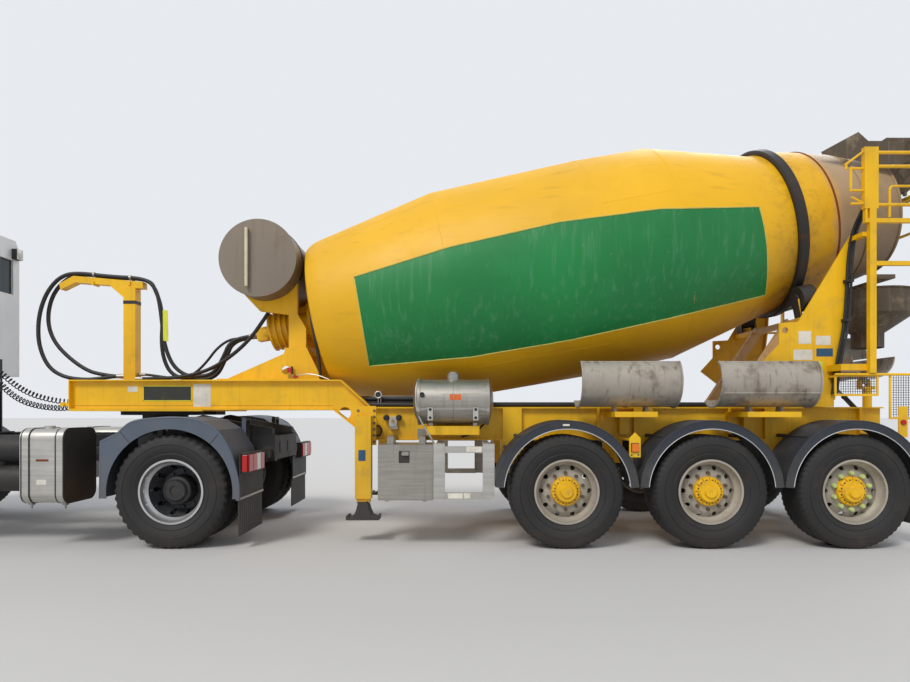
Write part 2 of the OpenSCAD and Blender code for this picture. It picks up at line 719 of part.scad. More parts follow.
// Curly air lines between the tractor's connection board and the gooseneck, as tubes of their full width
air_line_1_path = [
    [-2000 + seat, 0, 1720], [-1940, 0, 1720], [-1840, 0, 1690], [-1700, 0, 1560], [-1500, 0, 1440],
    [-1250, 20, 1370], [-1000, 60, 1350], [-780, 90, 1375], [-neck_front - seat, 90, 1375]
];

air_line_2_path = [
    [-2000 + seat, 0, 1600], [-1940, 0, 1600], [-1840, 0, 1570], [-1720, -20, 1450], [-1520, -40, 1340],
    [-1250, -60, 1290], [-1000, -80, 1290], [-780, -90, 1375], [-neck_front - seat, -90, 1375]
];

module rear_pedestal() color(yellow) {
    x = x_ring;
    z = z_ring;
    foot_z = beam_top + 68;
    rd = ring_r + roller_r + seat;
    both() {
        across(770, 16) difference() {
            polygon([
                [x + 172, foot_z], [x + 368, foot_z], [x + 434, z - 1284], [x + 478, z - 947],
                [x + 511, z - 311], [x + 554, z - 170], [x + 18, z - 1054], [x - 168, z - 1064],
                [x - 168, z - 1270], [x - 319, z - 1436]
            ]);
            translate([x - 108, z - 1136]) circle(r = 30, $fn = 32);
        }
        // flange along its rear edge
        across(730, 56) polygon([
            [x + 366, foot_z], [x + 432, z - 1284], [x + 476, z - 947], [x + 509, z - 311],
            [x + 523, z - 311], [x + 490, z - 947], [x + 446, z - 1284], [x + 380, foot_z]
        ]);
        // foot on the main beam
        block([x + 172, beam_y - flange_w, beam_top + seat], [x + 368, 786, foot_z + eps]);
        // brace from the frame up to the roller beam
        translate([0, 300, 0]) across(0, 70) polygon([
            [x - 560, beam_top - 120], [x - 440, beam_top - 120], [x + 190, z - 1050],
            [x + 140, z - 960]
        ]);
    }
    block([x - 560, -web_out + web_t + seat, beam_top - 130],
        [x - 440, web_out - web_t - seat, beam_top - 110]);
    block([x + 190, -780, 1330], [x + 350, 780, foot_z]);
    // roller carriers: a shaft between two bearing plates on a cross beam
    for (side = [-1, 1]) at_roller(side) {
        translate([0, 0, -95]) cylinder(r = 30, h = 190, $fn = 48);
        for (e = [-95, 77]) translate([0, 0, e]) {
            cylinder(r = 60, h = 18, $fn = 48);
            translate([0, -60, 0]) cube([220, 120, 18]);
        }
    }
    on_drum_axis() translate([rd * cos(roller_angle) + 180, -772, ring_t + ring_w / 2 - 95])
        cube([60, 1544, 190]);
}

// Place of a support roller, side +1 right or -1 left
module at_roller(side) {
    on_drum_axis() translate([
        (ring_r + roller_r + seat) * cos(roller_angle),
        side * (ring_r + roller_r + seat) * sin(roller_angle),
        ring_t + ring_w / 2
    ]) children();
}

module roller(side) {
    color(dark) at_roller(side) translate([0, 0, -70]) difference() {
        cylinder(r = roller_r, h = 140, $fn = 64);
        translate([0, 0, -1]) cylinder(r = 30 + run_fit, h = 142, $fn = 48);
    }
}

// Inner radius of the drum's wall at each station along the axis
function drum_inner(t) = lookup(t, [
    [1390 * drum_k, drum_max_r - 35], [2900 * drum_k, drum_max_r], [3650 * drum_k, drum_max_r - 15],
    [ring_t - 60, neck_r], [ring_t + ring_w + 60, neck_r], [drum_len - 750, drum_mouth_r + 170],
    [drum_len - 400, drum_mouth_r + 85], [drum_len, drum_mouth_r]
]) - drum_wall;

module drum() {
    w = drum_wall;
    outer = [
        [0, -150], [250, -150], [260, -90], [520, -40], [drum_front_r - 60, -12],
        [drum_front_r, 10], [drum_front_r + 42, 80], [drum_front_r + 62, 160],
        [drum_max_r - 35, 1390 * drum_k], [drum_max_r, 2900 * drum_k], [drum_max_r - 15, 3650 * drum_k],
        [neck_r, ring_t - 60], [neck_r, ring_t + ring_w + 60], [drum_mouth_r + 170, drum_len - 750],
        [drum_mouth_r + 85, drum_len - 410], [drum_mouth_r + 96, drum_len - 405],
        [drum_mouth_r + 96, drum_len - 375], [drum_mouth_r + 78, drum_len - 370],
        [drum_mouth_r + 6, drum_len - 24], [drum_mouth_r + 14, drum_len - 20],
        [drum_mouth_r + 14, drum_len]
    ];
    inner = [
        [drum_mouth_r - w, drum_len], [drum_mouth_r + 85 - w, drum_len - 400],
        [drum_mouth_r + 170 - w, drum_len - 750], [neck_r - w, ring_t + ring_w + 60],
        [neck_r - w, ring_t - 60], [drum_max_r - 15 - w, 3650 * drum_k],
        [drum_max_r - w, 2900 * drum_k], [drum_max_r - 35 - w, 1390 * drum_k],
        [drum_front_r + 62 - w, 160 + w], [drum_front_r - 20, 30 + w], [520, -30 + w], [0, -70 + w]
    ];
    color(yellow) on_drum_axis() rotate_extrude($fn = 128) polygon(concat(outer, inner));
}

// Two mixing blades, each a helix on the inside of the wall that ends at the mouth
module drum_blades() {
    steps = 30;
    turn = 400;
    t0 = drum_len - 2300;
    t1 = drum_len - 60;
    function blade_t(i) = t0 + (t1 - t0) * i / steps;
    function height(i) = 120 + 240 * (1 - pow(abs(2 * i / steps - 0.9), 2));
    function point(r, a, t) = [r * cos(a), r * sin(a), t];
    color(zinc) on_drum_axis() for (start = [0, 180]) {
        rows = [for (i = [0:steps])
            let (t = blade_t(i), a = start + turn * i / steps, d = height(i),
                r = min(drum_inner(t - 5), drum_inner(t + 5)) - seat)
            [point(r, a, t - 5), point(r, a, t + 5), point(r - d, a, t + 5), point(r - d, a, t - 5)]
        ];
        polyhedron(
            [for (row = rows) for (p = row) p],
            concat(
                [[0, 1, 2, 3]],
                [for (i = [0:steps - 1]) for (k = [0:3]) [
                    4 * i + k, 4 * i + 4 + k, 4 * i + 4 + (k + 1) % 4
                ]],
                [for (i = [0:steps - 1]) for (k = [0:3]) [
                    4 * i + k, 4 * i + 4 + (k + 1) % 4, 4 * i + (k + 1) % 4
                ]],
                [[4 * steps + 3, 4 * steps + 2, 4 * steps + 1, 4 * steps]]
            )
        );
    }
}

module drum_ring() {
    color(dark) on_drum_axis() rotate_extrude($fn = 128) polygon([
        [neck_r + seat, ring_t], [ring_r - 14, ring_t], [ring_r, ring_t + 12],
        [ring_r, ring_t + ring_w - 12], [ring_r - 14, ring_t + ring_w], [neck_r + seat, ring_t + ring_w]
    ]);
}

// Platform frame at the hopper: posts, rails, a ladder on the right and mesh frames over the wheels
module rear_platform() {
    x = x_ring + 539;
    rail_x = x_rear - 60;
    color(yellow) {
        both() {
            // post, wide at its top
            block([x, 1010, 1612], [x + 61, 1060, 3200]);
            block([x - 50, 1010, 3150], [x + 80, 1060, 3726]);
            block([x - 240, 786 + seat, 1640], [x + 61, 1010 + eps, 1700]);
            block([x - 39, 786 + seat, 2905], [x + 21, 1010 + eps, 2945]);
            // rails round the platform
            for (z = [3190, 3550, 3680])
                rod_x([x + 80 + seat, 1035, z], 16, rail_x - x - 80 - seat);
            rod_z([rail_x, 1035, 3174], 16, 522);
            rod_z([x + 420, 1035, 3050], 14, 630);
            // hand loops ahead of and behind the post
            for (z = [3324, 3530]) rod_x([x - 165, 1035, z], 12, 140);
            rod_z([x - 165, 1035, 3312], 12, 230);
            rod_x([x - 165, 1035, 3200], 12, 140);
            // floor bearer
            block([x + 61 + seat, 1015, 3020], [x + 440, 1055, 3060]);
            block([x - 40, 1015, 3020], [x, 1055, 3060]);
            block([x - 40, 1015, 3020], [x - 20, 1055, 3160]);
        }
        // rail on the left side only, over the passage to the chute
        block([x + 61 + seat, -1055, 2620], [rail_x, -1015, 2660]);
        rod_z([rail_x - 16, -1035, 2640], 14, 550);
        // cross rails
        for (z = [3190, 3550, 3680]) rod_y([rail_x, -1019 + seat, z], 16, 2038 - 2 * seat);
        rod_y([x_rear - 240, -1021 + seat, 3500], 24, 2042 - 2 * seat);
        both() rod_z([x_rear - 240, 1035, 3480], 14, 80);
        // mesh frames over the last wheels, left side
        for (f = [[x_ring + 225, 1397, x_ring + 640, 1600], [x_ring + 740, 1180, x_ring + 1080, 1610]])
            difference() {
                block([f[0], -1030, f[1]], [f[2], -1020, f[3]]);
                block([f[0] + 20, -1031, f[1] + 20], [f[2] - 20, -1019, f[3] - 20]);
            }
        rod_x([x_ring + 225, -1035, 1600 - seat], 12, 855);
        block([x_ring + 308, -1021, 1580], [x_ring + 348, -786 - seat, 1600]);
        // ladder on the right side
        for (xx = [x + 40, x + 310]) block([xx, 1075, 1290], [xx + 24, 1125, 3160]);
        for (z = [1360:300:3060]) rod_x([x + 50, 1100, z], 14, 270);
        block([x + 310, 1051 + seat, 3120], [x + 334, 1076, 3206]);
        for (z = [1660, 3150]) block([x + 40, 1060 + seat, z], [x + 64, 1076, z + 40]);
    }
    // side marker lamp on its plate
    color(yellow) block([x_ring + 826, -1029, 1010], [x_ring + 912, -1021, 1300]);
    color([0.7, 0.05, 0.04]) rod_y([x_ring + 868, -1045 - seat, 1150], 24, 16);
}

module hopper() color(steel) {
    xh = x_hopper;
    difference() {
        hull() {
            block([xh, -560, 4000], [x_rear, 560, 4030]);
            block([xh + 40, -330, 3560], [x_rear - 260, 330, 3580]);
        }
        hull() {
            block([xh + 8, -552, 4001], [x_rear - 8, 552, 4031]);
            block([xh + 48, -322, 3559], [x_rear - 268, 322, 3579]);
        }
    }
    // feet on the rear cross rail
    both() block([x_rear - 290, 300, 3524 + seat], [x_rear - 264, 330, 3600]);
    // side wings beside the drum's neck
    both() across(640, 6) polygon([
        [x_mouth - 800, 3850], [x_mouth - 430, 4050], [x_mouth - 330, 3960], [xh + 120, 3960],
        [xh + 120, 3560], [x_mouth - 60, 3690], [x_mouth - 790, 3832]
    ]);
    both() block([xh + 90, 520, 3920], [xh + 110, 641, 3950]);
    both() block([xh + 30, 640, 3660], [xh + 60, 1019 - seat, 3690]);
}

module collector() color(zinc) {
    xs = x_swivel;
    r = collector_r;
    translate([xs, 0, 0]) rotate_extrude($fn = 64) polygon([
        [150, 1950], [158, 1950], [158, 2110], [r, 2300], [r, 2548], [r + 12, 2548], [r + 12, 2560],
        [r - 8, 2560], [r - 8, 2304], [150, 2114]
    ]);
    // carrying frame
    block([xs - r - 46, -1040, 2500], [xs - r - 6, 1040, 2538]);
    both() block([x_ring + 600 + seat, 1015, 2500], [xs - r - 45, 1040, 2538]);
    block([xs - r - 20, -120, 2490], [xs - r + 10, 120, 2538]);
}

// A spare chute section: half-round trough lying on its back, its mouth turned up and inboard
module stored_chutes() {
    r = 238;
    y = -910;
    z = 1533;
    turn = 50;
    for (i = [0:1]) {
        x = stored_x(i);
        color(steel) {
            difference() {
                union() {
                    rod_x([x, y, z], r, 930);
                    // end hoops and middle strap
                    for (e = [0, 916]) rod_x([x + e, y, z], r + 12, 14);
                    if (i == 0) rod_x([x + 450, y, z], r + 6, 30);
                }
                rod_x([x - 1, y, z], r - 5, 932);
                translate([x - 2, y, z]) rotate([-turn, 0, 0]) translate([0, -400, 0]) cube([934, 800, 400]);
            }
            // rolled edges and the long rib
            for (s = [-1, 1])
                rod_x([x, y + s * (r - 2) * cos(turn), z - s * (r - 2) * sin(turn)], 9, 930);
            if (i == 1) rod_x([x, y - r * cos(28), z - r * sin(28)], 8, 930);
            // triangular feet
            for (f = [340, 640]) along(x + f, 30) polygon([
                [y - 60, stand_top + seat], [y + 60, stand_top + seat], [y + 30, z - r + 8],
                [y - 30, z - r + 8]
            ]);
        }
    }
}

module rear_bumper() {
    color(dark) {
        block([x_beam_rear + 40, -1200, 430], [x_beam_rear + 120, 1200, 550]);
        both() block([x_beam_rear - 60, 540, 430], [x_beam_rear + 50, 600, beam_bottom - seat]);
        // lamp carrier
        block([x_beam_rear + 40, -1200, 610], [x_beam_rear + 52, 1200, 760]);
    }
    color([0.7, 0.05, 0.04]) both() for (y = [760, 900, 1040])
        block([x_beam_rear + 52 + seat, y, 630], [x_beam_rear + 84, y + 120, 740]);
}

module both_x() {
    children();
    translate([x_swivel, 0, 0]) mirror([1, 0, 0]) translate([-x_swivel, 0, 0]) children();
}

module chute_swivel() color(yellow) {
    xs = x_swivel;
    y = chute_pin[0];
    z = chute_pin[1];
    rod_z([xs, 0, sleeve_z0 - 20], post_r, z - 60 - sleeve_z0 + 20);
    rod_z([xs, 0, sleeve_z1 + seat], sleeve_r, 30);
    block([xs - 60, -45, z - 90], [xs + 60, y + 30, z - 60]);
    both_x() along(xs + 30, 30) polygon([
        [y - 30, z - 61], [y + 30, z - 61], [y + 30, z + 4], [y + 12, z + 22], [y - 12, z + 22],
        [y - 30, z + 4]
    ]);
    rod_x([xs - 31, y, z], 15, 62);
    // lug for the cylinder's foot
    both_x() block([xs + 32, 20, jack_foot[1] - 30],
        [xs + 47, jack_foot[0] + 30, jack_foot[1] + 30]);
    rod_x([xs - 33, jack_foot[0], jack_foot[1]], 12, 66);
}

module chute() color(steel) {
    xs = x_swivel;
    y = chute_pin[0];
    z = chute_pin[1];
    difference() {
        union() {
            rod_y([xs, -100, chute_z], chute_r, chute_len + 100);
            // hoops round the trough
            for (h = [-100, 450, chute_len - 20]) rod_y([xs, h, chute_z], chute_r + 8, 20);
        }
        rod_y([xs, -101, chute_z], chute_r - chute_wall, chute_len + 102);
        block([xs - 300, -200, chute_z], [xs + 300, chute_len + 200, chute_z + 400]);
    }
    difference() {
        block([xs - 26, y - 28, z - 28], [xs + 26, y + 28, z + 34]);
        rod_x([xs - 27, y, z], 15 + run_fit, 54);
    }
    // ears for the cylinder's rod
    both_x() {
        block([xs + 22, jack_eye[0] - 25, jack_eye[1] - 25],
            [xs + 34, jack_eye[0] + 25, jack_eye[1] + 40]);
        rod_x([xs + 15, jack_eye[0], jack_eye[1]], 12, 8);
        // ears and pins of the folding extension
        block([xs + chute_r - 4, tip_pin[0] - 60, chute_z - 40],
            [xs + chute_r + 16, tip_pin[0] + 14, tip_pin[1] + 14]);
        rod_x([xs + chute_r + 10, tip_pin[0], tip_pin[1]], 10, 26);
    }
}

module chute_tip() color(steel) {
    xs = x_swivel;
    z = tip_pin[1] + 8;
    end_y = tip_pin[0] - 72;
    y0 = collector_r - 80;
    difference() {
        union() {
            rod_y([xs, y0, z], chute_r, end_y - y0);
            for (h = [y0, end_y - 20]) rod_y([xs, h, z], chute_r + 8, 20);
        }
        rod_y([xs, y0 - 1, z], chute_r - chute_wall, end_y - y0 + 2);
        block([xs - 300, 200, z - 300], [xs + 300, 1200, z]);
    }
    both_x() {
        difference() {
            block([xs + chute_r + 18, tip_pin[0] - 90, tip_pin[1] - 14],
                [xs + chute_r + 32, tip_pin[0] + 14, tip_pin[1] + 60]);
            rod_x([xs + chute_r + 10, tip_pin[0], tip_pin[1]], 10 + run_fit, 30);
        }
        block([xs + chute_r - 8, tip_pin[0] - 90, tip_pin[1] + 24],
            [xs + chute_r + 32, end_y - 2, tip_pin[1] + 44]);
    }
}

// The chute's cylinder, along X from its foot at the origin
module on_jack() {
    translate([x_swivel, jack_foot[0], jack_foot[1]]) rotate([jack_angle, 0, 0])
        rotate([-90, 0, 0]) children();
}

module chute_cylinder() {
    color(dark) on_jack() difference() {
        union() {
            translate([0, 0, 20]) cylinder(r = 27, h = 300, $fn = 48);
            translate([0, 0, 296]) cylinder(r = 30, h = 24, $fn = 48);
            translate([-26, 0, 0]) rotate([0, 90, 0]) cylinder(r = 24, h = 52, $fn = 48);
        }
        translate([0, 0, 40]) cylinder(r = 16 + run_fit, h = 300, $fn = 48);
        translate([-27, 0, 0]) rotate([0, 90, 0]) cylinder(r = 12 + run_fit, h = 54, $fn = 48);
    }
}

module chute_rod() {
    color(steel) on_jack() {
        translate([0, 0, jack_len - 300]) cylinder(r = 16, h = 285, $fn = 48);
        translate([-11, 0, jack_len]) rotate([0, 90, 0]) difference() {
            cylinder(r = 22, h = 22, $fn = 48);
            translate([0, 0, -1]) cylinder(r = 12, h = 24, $fn = 48);
        }
    }
}

module tractor_frame() color(dark) {
    f = x_front;
    end_z = rail_top - rail_h;
    both() across(rail_y - 80, 80) difference() {
        polygon([
            [f + 250, end_z], [f + 250, rail_top], [x_rail_end, rail_top],
            [x_rail_end, end_z]
        ]);
        for (x = [x_steer + 500:400:x_drive - 500]) translate([x, rail_top - rail_h / 2])
            circle(r = 30, $fn = 32);
    }
    both() {
        // cab hinge bracket and cab rest
        block([f + 40, 400, cab_pivot_z - 40], [f + 300, 420, cab_pivot_z + 30]);
        block([f + 250, 400, rail_top - eps], [f + 300, 420, cab_pivot_z]);
        rod_y([cab_pivot_x, 366, cab_pivot_z], cab_pin_r, 40);
        block([cab_rear - 150, 360, rail_top - eps], [cab_rear - 70, 420, bunk_z - seat]);
        // engine mounts
        for (x = [f + 700, f + 1600])
            block([x, 330 + seat, 800], [x + 60, 351, 860]);
    }
    block([f + 300, -rail_y + 10, 800], [f + 420, rail_y - 10, 900]);
    // end member with two slots
    difference() {
        block([x_rail_end - 12, -rail_y + 10, end_z + 10], [x_rail_end, rail_y - 10, rail_top - 10]);
        for (y = [-250, 50]) block([x_rail_end - 13, y - 15, end_z + 75],
            [x_rail_end + 1, y + 15, end_z + 195]);
    }
    block([x_king - 700, -rail_y + 10, 780], [x_king - 600, rail_y - 10, 900]);
    block([x_drive - 300, -rail_y + 10, 820], [x_drive - 240, rail_y - 10, 940]);
    // board for the air connections behind the cab
    block([x_board - 60, -rail_y - 20, rail_top - eps], [x_board, rail_y + 20, rail_top + 14]);
    block([x_board - 60, -250, rail_top + 10], [x_board - 40, 250, 1850]);
    for (y = [-250, 230]) block([x_board - 60, y, rail_top + 10], [x_board, y + 20, 1850]);
    block([x_board - 60, -250, 1480], [x_board, 250, 1850]);
}

// Fifth wheel plate with its throat and ramps
module fifth_wheel() {
    top = coupling_z - seat;
    color(dark) {
        difference() {
            translate([x_king, 0, top - 40]) linear_extrude(40) difference() {
                union() {
                    circle(r = 450, $fn = 96);
                    translate([0, -450]) square([480, 900]);
                }
                polygon([[60, -40], [60, 40], [481, 170], [481, -170]]);
                circle(r = 38, $fn = 64);
                translate([0, -38]) square([70, 76]);
            }
        }
        // locking jaw round the kingpin
        difference() {
            block([x_king - 70, -120, top - 64], [x_king + 56, 120, top - 39]);
            rod_z([x_king, 0, top - 65], king_r + run_fit, 30);
        }
        both() {
            block([x_king - 60, 340, rail_top + seat], [x_king + 60, 420, top - 39]);
            block([x_king - 160, 350, rail_top + 13], [x_king + 160, 410, rail_top + 60]);
            block([x_king - 250, 330, rail_top + seat], [x_king + 250, rail_y, rail_top + 14]);
            rod_y([x_king, 330, 1130], 40, 100);
        }
    }
    color(dark) both() across(340, 80) polygon([
        [x_king + 500, rail_top + seat], [x_king + 500, 1200], [x_king + 560, 1215],
        [x_rail_end - 30, 1075], [x_rail_end - 30, rail_top + seat]
    ]);
}

module engine() {
    color(zinc) block([x_front + 620, -330, 760], [x_front + 1780, 330, 1120]);
}

// A leaf spring in side view, seated on its axle at z
module leaf_spring(x, z) {
    across(380, 50) polygon([
        [x - 520, z + 118], [x - 200, z + 30], [x + 200, z + 30], [x + 520, z + 118],
        [x + 520, z + 100], [x + 200, z - 20], [x - 200, z - 20], [x - 520, z + 100]
    ]);
    for (e = [-1, 1]) translate([x + e * 510, 0, 0])
        block([-20, 380, z + 104], [20, 430, rail_top - rail_h - seat]);
}

module tractor_axles() color(dark) {
    rod_y([x_drive, -twin_y - 190, wheel_z], spindle_r, 2 * twin_y + 380);
    rod_y([x_drive, -480, wheel_z], 90, 960);
    rod_x([x_drive - 230, 0, wheel_z], 190, 420);
    rod_x([x_drive - 900, 0, wheel_z + 60], 60, 680);
    block([x_steer - 45, -knuckle_y, wheel_z - 60], [x_steer + 45, knuckle_y, wheel_z + 40]);
    both() {
        rod_z([x_steer, knuckle_y, wheel_z - 60], 48, 120);
        rod_z([x_steer, knuckle_y, wheel_z - 135], 25, 270);
        leaf_spring(x_steer, wheel_z + 60);
        block([x_steer - 50, 385, wheel_z + 39], [x_steer + 50, 425, wheel_z + 50]);
        leaf_spring(x_drive, wheel_z + 100);
        block([x_drive - 60, 385, wheel_z + 60], [x_drive + 60, 425, wheel_z + 100]);
    }
}

// What stands beside the tractor frame: tanks, batteries, silencer
module fuel_tank() {
    s = x_steer;
    x0 = x_drive - 1352;
    color(steel) {
        along(x0, 402) translate([-1000, 755]) round_rect(500, 677, 90);
        for (x = [x0 + 22, x0 + 332]) along(x, 60) difference() {
            translate([-1000, 755]) round_rect(510, 687, 94);
            translate([-1000, 755]) round_rect(499, 676, 90);
        }
        for (x = [x0 + 40, x0 + 340]) block([x, -752, 830], [x + 40, -rail_y - seat, 900]);
        rod_z([x0 + 200, -1130, 1090], 44, 30);
        along(x0 - 700, 1100) translate([1000, 750]) round_rect(500, 620, 90);
        for (x = [x0 - 600, x0 + 240]) {
            along(x, 60) difference() {
                translate([1000, 750]) round_rect(510, 630, 94);
                translate([1000, 750]) round_rect(499, 619, 90);
            }
            block([x, rail_y + seat, 830], [x + 40, 752, 900]);
        }
    }
    color(dark) {
        block([s + 680, -1220, 480], [s + 1280, -660, 980]);
        block([s + 700, -661, 820], [s + 760, -rail_y - seat, 880]);
        block([s + 1180, -661, 820], [s + 1240, -rail_y - seat, 880]);
        for (z = [620, 900]) {
            rod_x([s + 1380, -950, z], 125, 760);
            for (x = [s + 1480, s + 1980])
                block([x, -835, z - 20], [x + 40, -rail_y - 25, z + 20]);
        }
        for (x = [s + 1480, s + 1980])
            block([x, -rail_y - 26, 600], [x + 40, -rail_y - seat, 920]);
        block([s + 680, 660, 450], [s + 1400, 1220, 1000]);
        for (x = [s + 720, s + 1300])
            block([x, rail_y + seat, 820], [x + 60, 661, 880]);
        rod_z([s + 1040, 900, 400], 50, 60);
    }
}

module tractor_mudguards() {
    gy = width / 2 - 2 * twin_tyre_w - twin_gap - 24;
    w = width / 2 - gy;
    line = [
        [-637, -55], [-628, 465], [-489, 532], [-354, 639], [-155, 675], [98, 683], [287, 649],
        [432, 564], [549, 384], [626, 113], [636, -75]
    ];
    n = len(line);
    place = [x_drive, wheel_z];
    color([0.30, 0.37, 0.45]) both() {
        // sheet over the tyres
        across(gy, w) polygon(concat(
            [for (p = line) place + p],
            [for (i = [n - 1:-1:0]) place + line[i] * 0.984]
        ));
        // side flange with its arch
        across(width / 2 - 8, 8) difference() {
            polygon([for (p = line) place + p]);
            translate(place) circle(r = tyre_r + 52, $fn = 96);
            translate([x_drive - 600, 0]) square([1200, wheel_z - 60]);
        }
    }
    color(dark) both() {
        for (a = [50, 130]) translate([x_drive + 700 * cos(a), 0, 0]) {
            block([-20, rail_y + seat, 960], [20, rail_y + 30, 1190]);
            block([-20, rail_y + 29, 1160], [20, gy + 1, 1190]);
            block([-20, gy - 8, 1020], [20, gy + 1, 1190]);
        }
        // tail lamp carrier and mud flap
        block([x_drive + 618, 573, 120], [x_drive + 628, 1240, 455]);
        block([x_drive + 630, 573, 440], [x_drive + 640, 1240, 870]);
        block([x_drive + 628 - eps, 573, 440], [x_drive + 631, 1240, 455]);
        block([x_drive + 632, rail_y + seat, 780], [x_drive + 692, 574, 860]);
    }
    color([0.75, 0.12, 0.10]) both()
        block([x_drive + 640 - eps, 760, 690], [x_drive + 700, 1220, 870]);
}

// Forked steering knuckle with its spindle, side +1 right or -1 left
module knuckle(side) {
    color(zinc) translate([x_steer, side * knuckle_y, wheel_z]) {
        difference() {
            union() {
                for (z = [-130, 60 + seat]) translate([0, 0, z]) {
                    cylinder(r = 48, h = 70 - seat, $fn = 48);
                    translate([-40, side > 0 ? 0 : -62, 0]) cube([80, 62, 70 - seat]);
                }
            }
            translate([0, 0, -131]) cylinder(r = 25 + run_fit, h = 262, $fn = 48);
        }
        translate([-40, side > 0 ? 52 : -62, -130]) cube([80, 10, 260]);
        rotate([-90 * side, 0, 0]) translate([0, 0, 61])
            cylinder(r = spindle_r, h = steer_y - knuckle_y + 50, $fn = 48);
    }
}

// Side outline of the cab, forward is -X, z up, inset by d
function cab_outline(d) = [
    [cab_face + d, cab_floor + d], [cab_face + d, 1960], [cab_face + 300 + d, cab_top - 330],
    [cab_face + 345 + d, cab_top - 200 - 0.5 * d], [cab_face + 440 + 0.8 * d, cab_top - 90 - 0.8 * d],
    [cab_face + 600 + 0.5 * d, cab_top - 25 - 0.95 * d], [cab_face + 800 + 0.2 * d, cab_top - d],
    [cab_rear - d, cab_top - d], [cab_rear - d, bunk_z + d], [x_floor_end - d, bunk_z + d],
    [x_floor_end - d, cab_floor + d]
];

module door_shape(g) {
    x0 = x_front + door_front;
    polygon([
        [x0 + g, cab_floor + 60 + g], [x0 + g, door_top - 230 - g], [x0 + 90 + g, door_top - g],
        [x0 + door_w - g, door_top - g], [x0 + door_w - g, cab_floor + 60 + g]
    ]);
}

module side_window(g) {
    x0 = x_front + door_front;
    polygon([
        [x0 + 90 + g, window_sill + g], [x0 + 90 + g, door_top - 260 - g],
        [x0 + 160 + g, door_top - 90 - g], [x0 + door_w - 90 - g, door_top - 90 - g],
        [x0 + door_w - 90 - g, window_sill + g]
    ]);
}

module rear_window(g) {
    polygon([[870 + g, 2750 + g], [1110 - g, 2750 + g], [1110 - g, 3190 - g], [870 + g, 3190 - g]]);
}

module cab_shell() {
    h = cab_w / 2;
    color(white) both() {
        difference() {
            block([cab_pivot_x - 30, 372, cab_pivot_z - 30], [cab_pivot_x + 30, 398, cab_floor + eps]);
            rod_y([cab_pivot_x, 360, cab_pivot_z], cab_pin_r + run_fit, 50);
        }
        for (z = hinge_zs) {
            block([door_hinge_x - 45, h - eps, z], [door_hinge_x, h + 16, z + 30]);
            rod_z([door_hinge_x, h + 12, z], 10, 30);
            rod_z([door_hinge_x, h + 12, z], 6, 75);
        }
    }
    color(white) difference() {
        across(-h, cab_w) polygon(cab_outline(0));
        across(-h + cab_wall, cab_w - 2 * cab_wall) polygon(cab_outline(cab_wall));
        both() {
            across(h - cab_wall - 1, cab_wall + 2) door_shape(0);
            // roof edge and front corner
            along(cab_face - 1, cab_len) polygon([
                [h - 70, cab_top + 1], [h + 1, cab_top - 120], [h + 1, cab_top + 1]
            ]);
            translate([0, 0, cab_floor - 1]) linear_extrude(cab_top) polygon([
                [cab_face - 1, h - 90], [cab_face - 1, h + 1], [cab_face + 80, h + 1]
            ]);
            // rear windows
            along(cab_rear - cab_wall - 1, cab_wall + 2) rear_window(0);
        }
        // windscreen
        along(cab_face - 10, 360) polygon([
            [-h + 110, 2010], [-h + 130, 3060], [h - 130, 3060], [h - 110, 2010]
        ]);
    }
}

module cab_glass() {
    h = cab_w / 2;
    color([0.5, 0.6, 0.65, 0.4]) {
        intersection() {
            across(-h + 100, cab_w - 200) polygon([
                [cab_face + 20, 1960], [cab_face + 320, cab_top - 330], [cab_face + 328, cab_top - 330],
                [cab_face + 28, 1960]
            ]);
            along(cab_face - 10, 700) polygon([
                [-h + 110 + seat, 2010 + seat], [-h + 130 + seat, 3060 - seat],
                [h - 130 - seat, 3060 - seat], [h - 110 - seat, 2010 + seat]
            ]);
        }
        both() along(cab_rear - 34, 6) rear_window(seat);
    }
}

// Grille, sun visor, mirrors and work lamps
module cab_trim() {
    h = cab_w / 2;
    f = cab_face;
    color(dark) {
        difference() {
            block([f - 30, -800, 1290], [f - seat, 800, 1850]);
            for (z = [1330:100:1730]) block([f - 31, -740, z], [f - 12, 740, z + 60]);
        }
        // sun visor
        across(-h + 140, cab_w - 280) polygon([
            [f + 297, 3110], [f + 80, 3062], [f + 80, 3044], [f + 290.5, 3085]
        ]);
        // wiper roots
        for (y = [-500, 300]) block([f - 24, y, 1900], [f - seat, y + 60, 1940]);
        both() {
            // mirror heads on two arms
            block([f + 60, h + 40, 2150], [f + 160, h + 250, 2950]);
            for (z = [2200, 2860]) {
                block([f + 250, h + seat, z - 20], [f + 275, h + 16, z + 20]);
                tube_between([f + 262, h + 14, z], [f + 120, h + 120, z], 14);
            }
        }
    }
    color([0.85, 0.85, 0.80]) both() block([cab_rear + seat, 1080, 3205], [cab_rear + 70, 1190, 3335]);
}

module door(side) {
    h = cab_w / 2;
    y0 = side > 0 ? h - cab_wall : -h;
    color(white) across(y0, cab_wall) difference() {
        door_shape(door_gap);
        side_window(0);
    }
    color([0.5, 0.6, 0.65, 0.4]) across(side > 0 ? h - 34 : -h + 28, 6) side_window(seat);
    color(white) mirror([0, side > 0 ? 0 : 1, 0]) for (z = hinge_zs) difference() {
        union() {
            rod_z([door_hinge_x, h + 12, z + 30 + seat], 10, 40);
            block([door_hinge_x, h + 3, z + 30 + seat], [door_hinge_x + 50, h + 13, z + 70]);
            block([door_hinge_x + 20, h - eps, z + 30 + seat], [door_hinge_x + 50, h + 13, z + 70]);
        }
        rod_z([door_hinge_x, h + 12, z], 6 + run_fit, 80);
    }
}

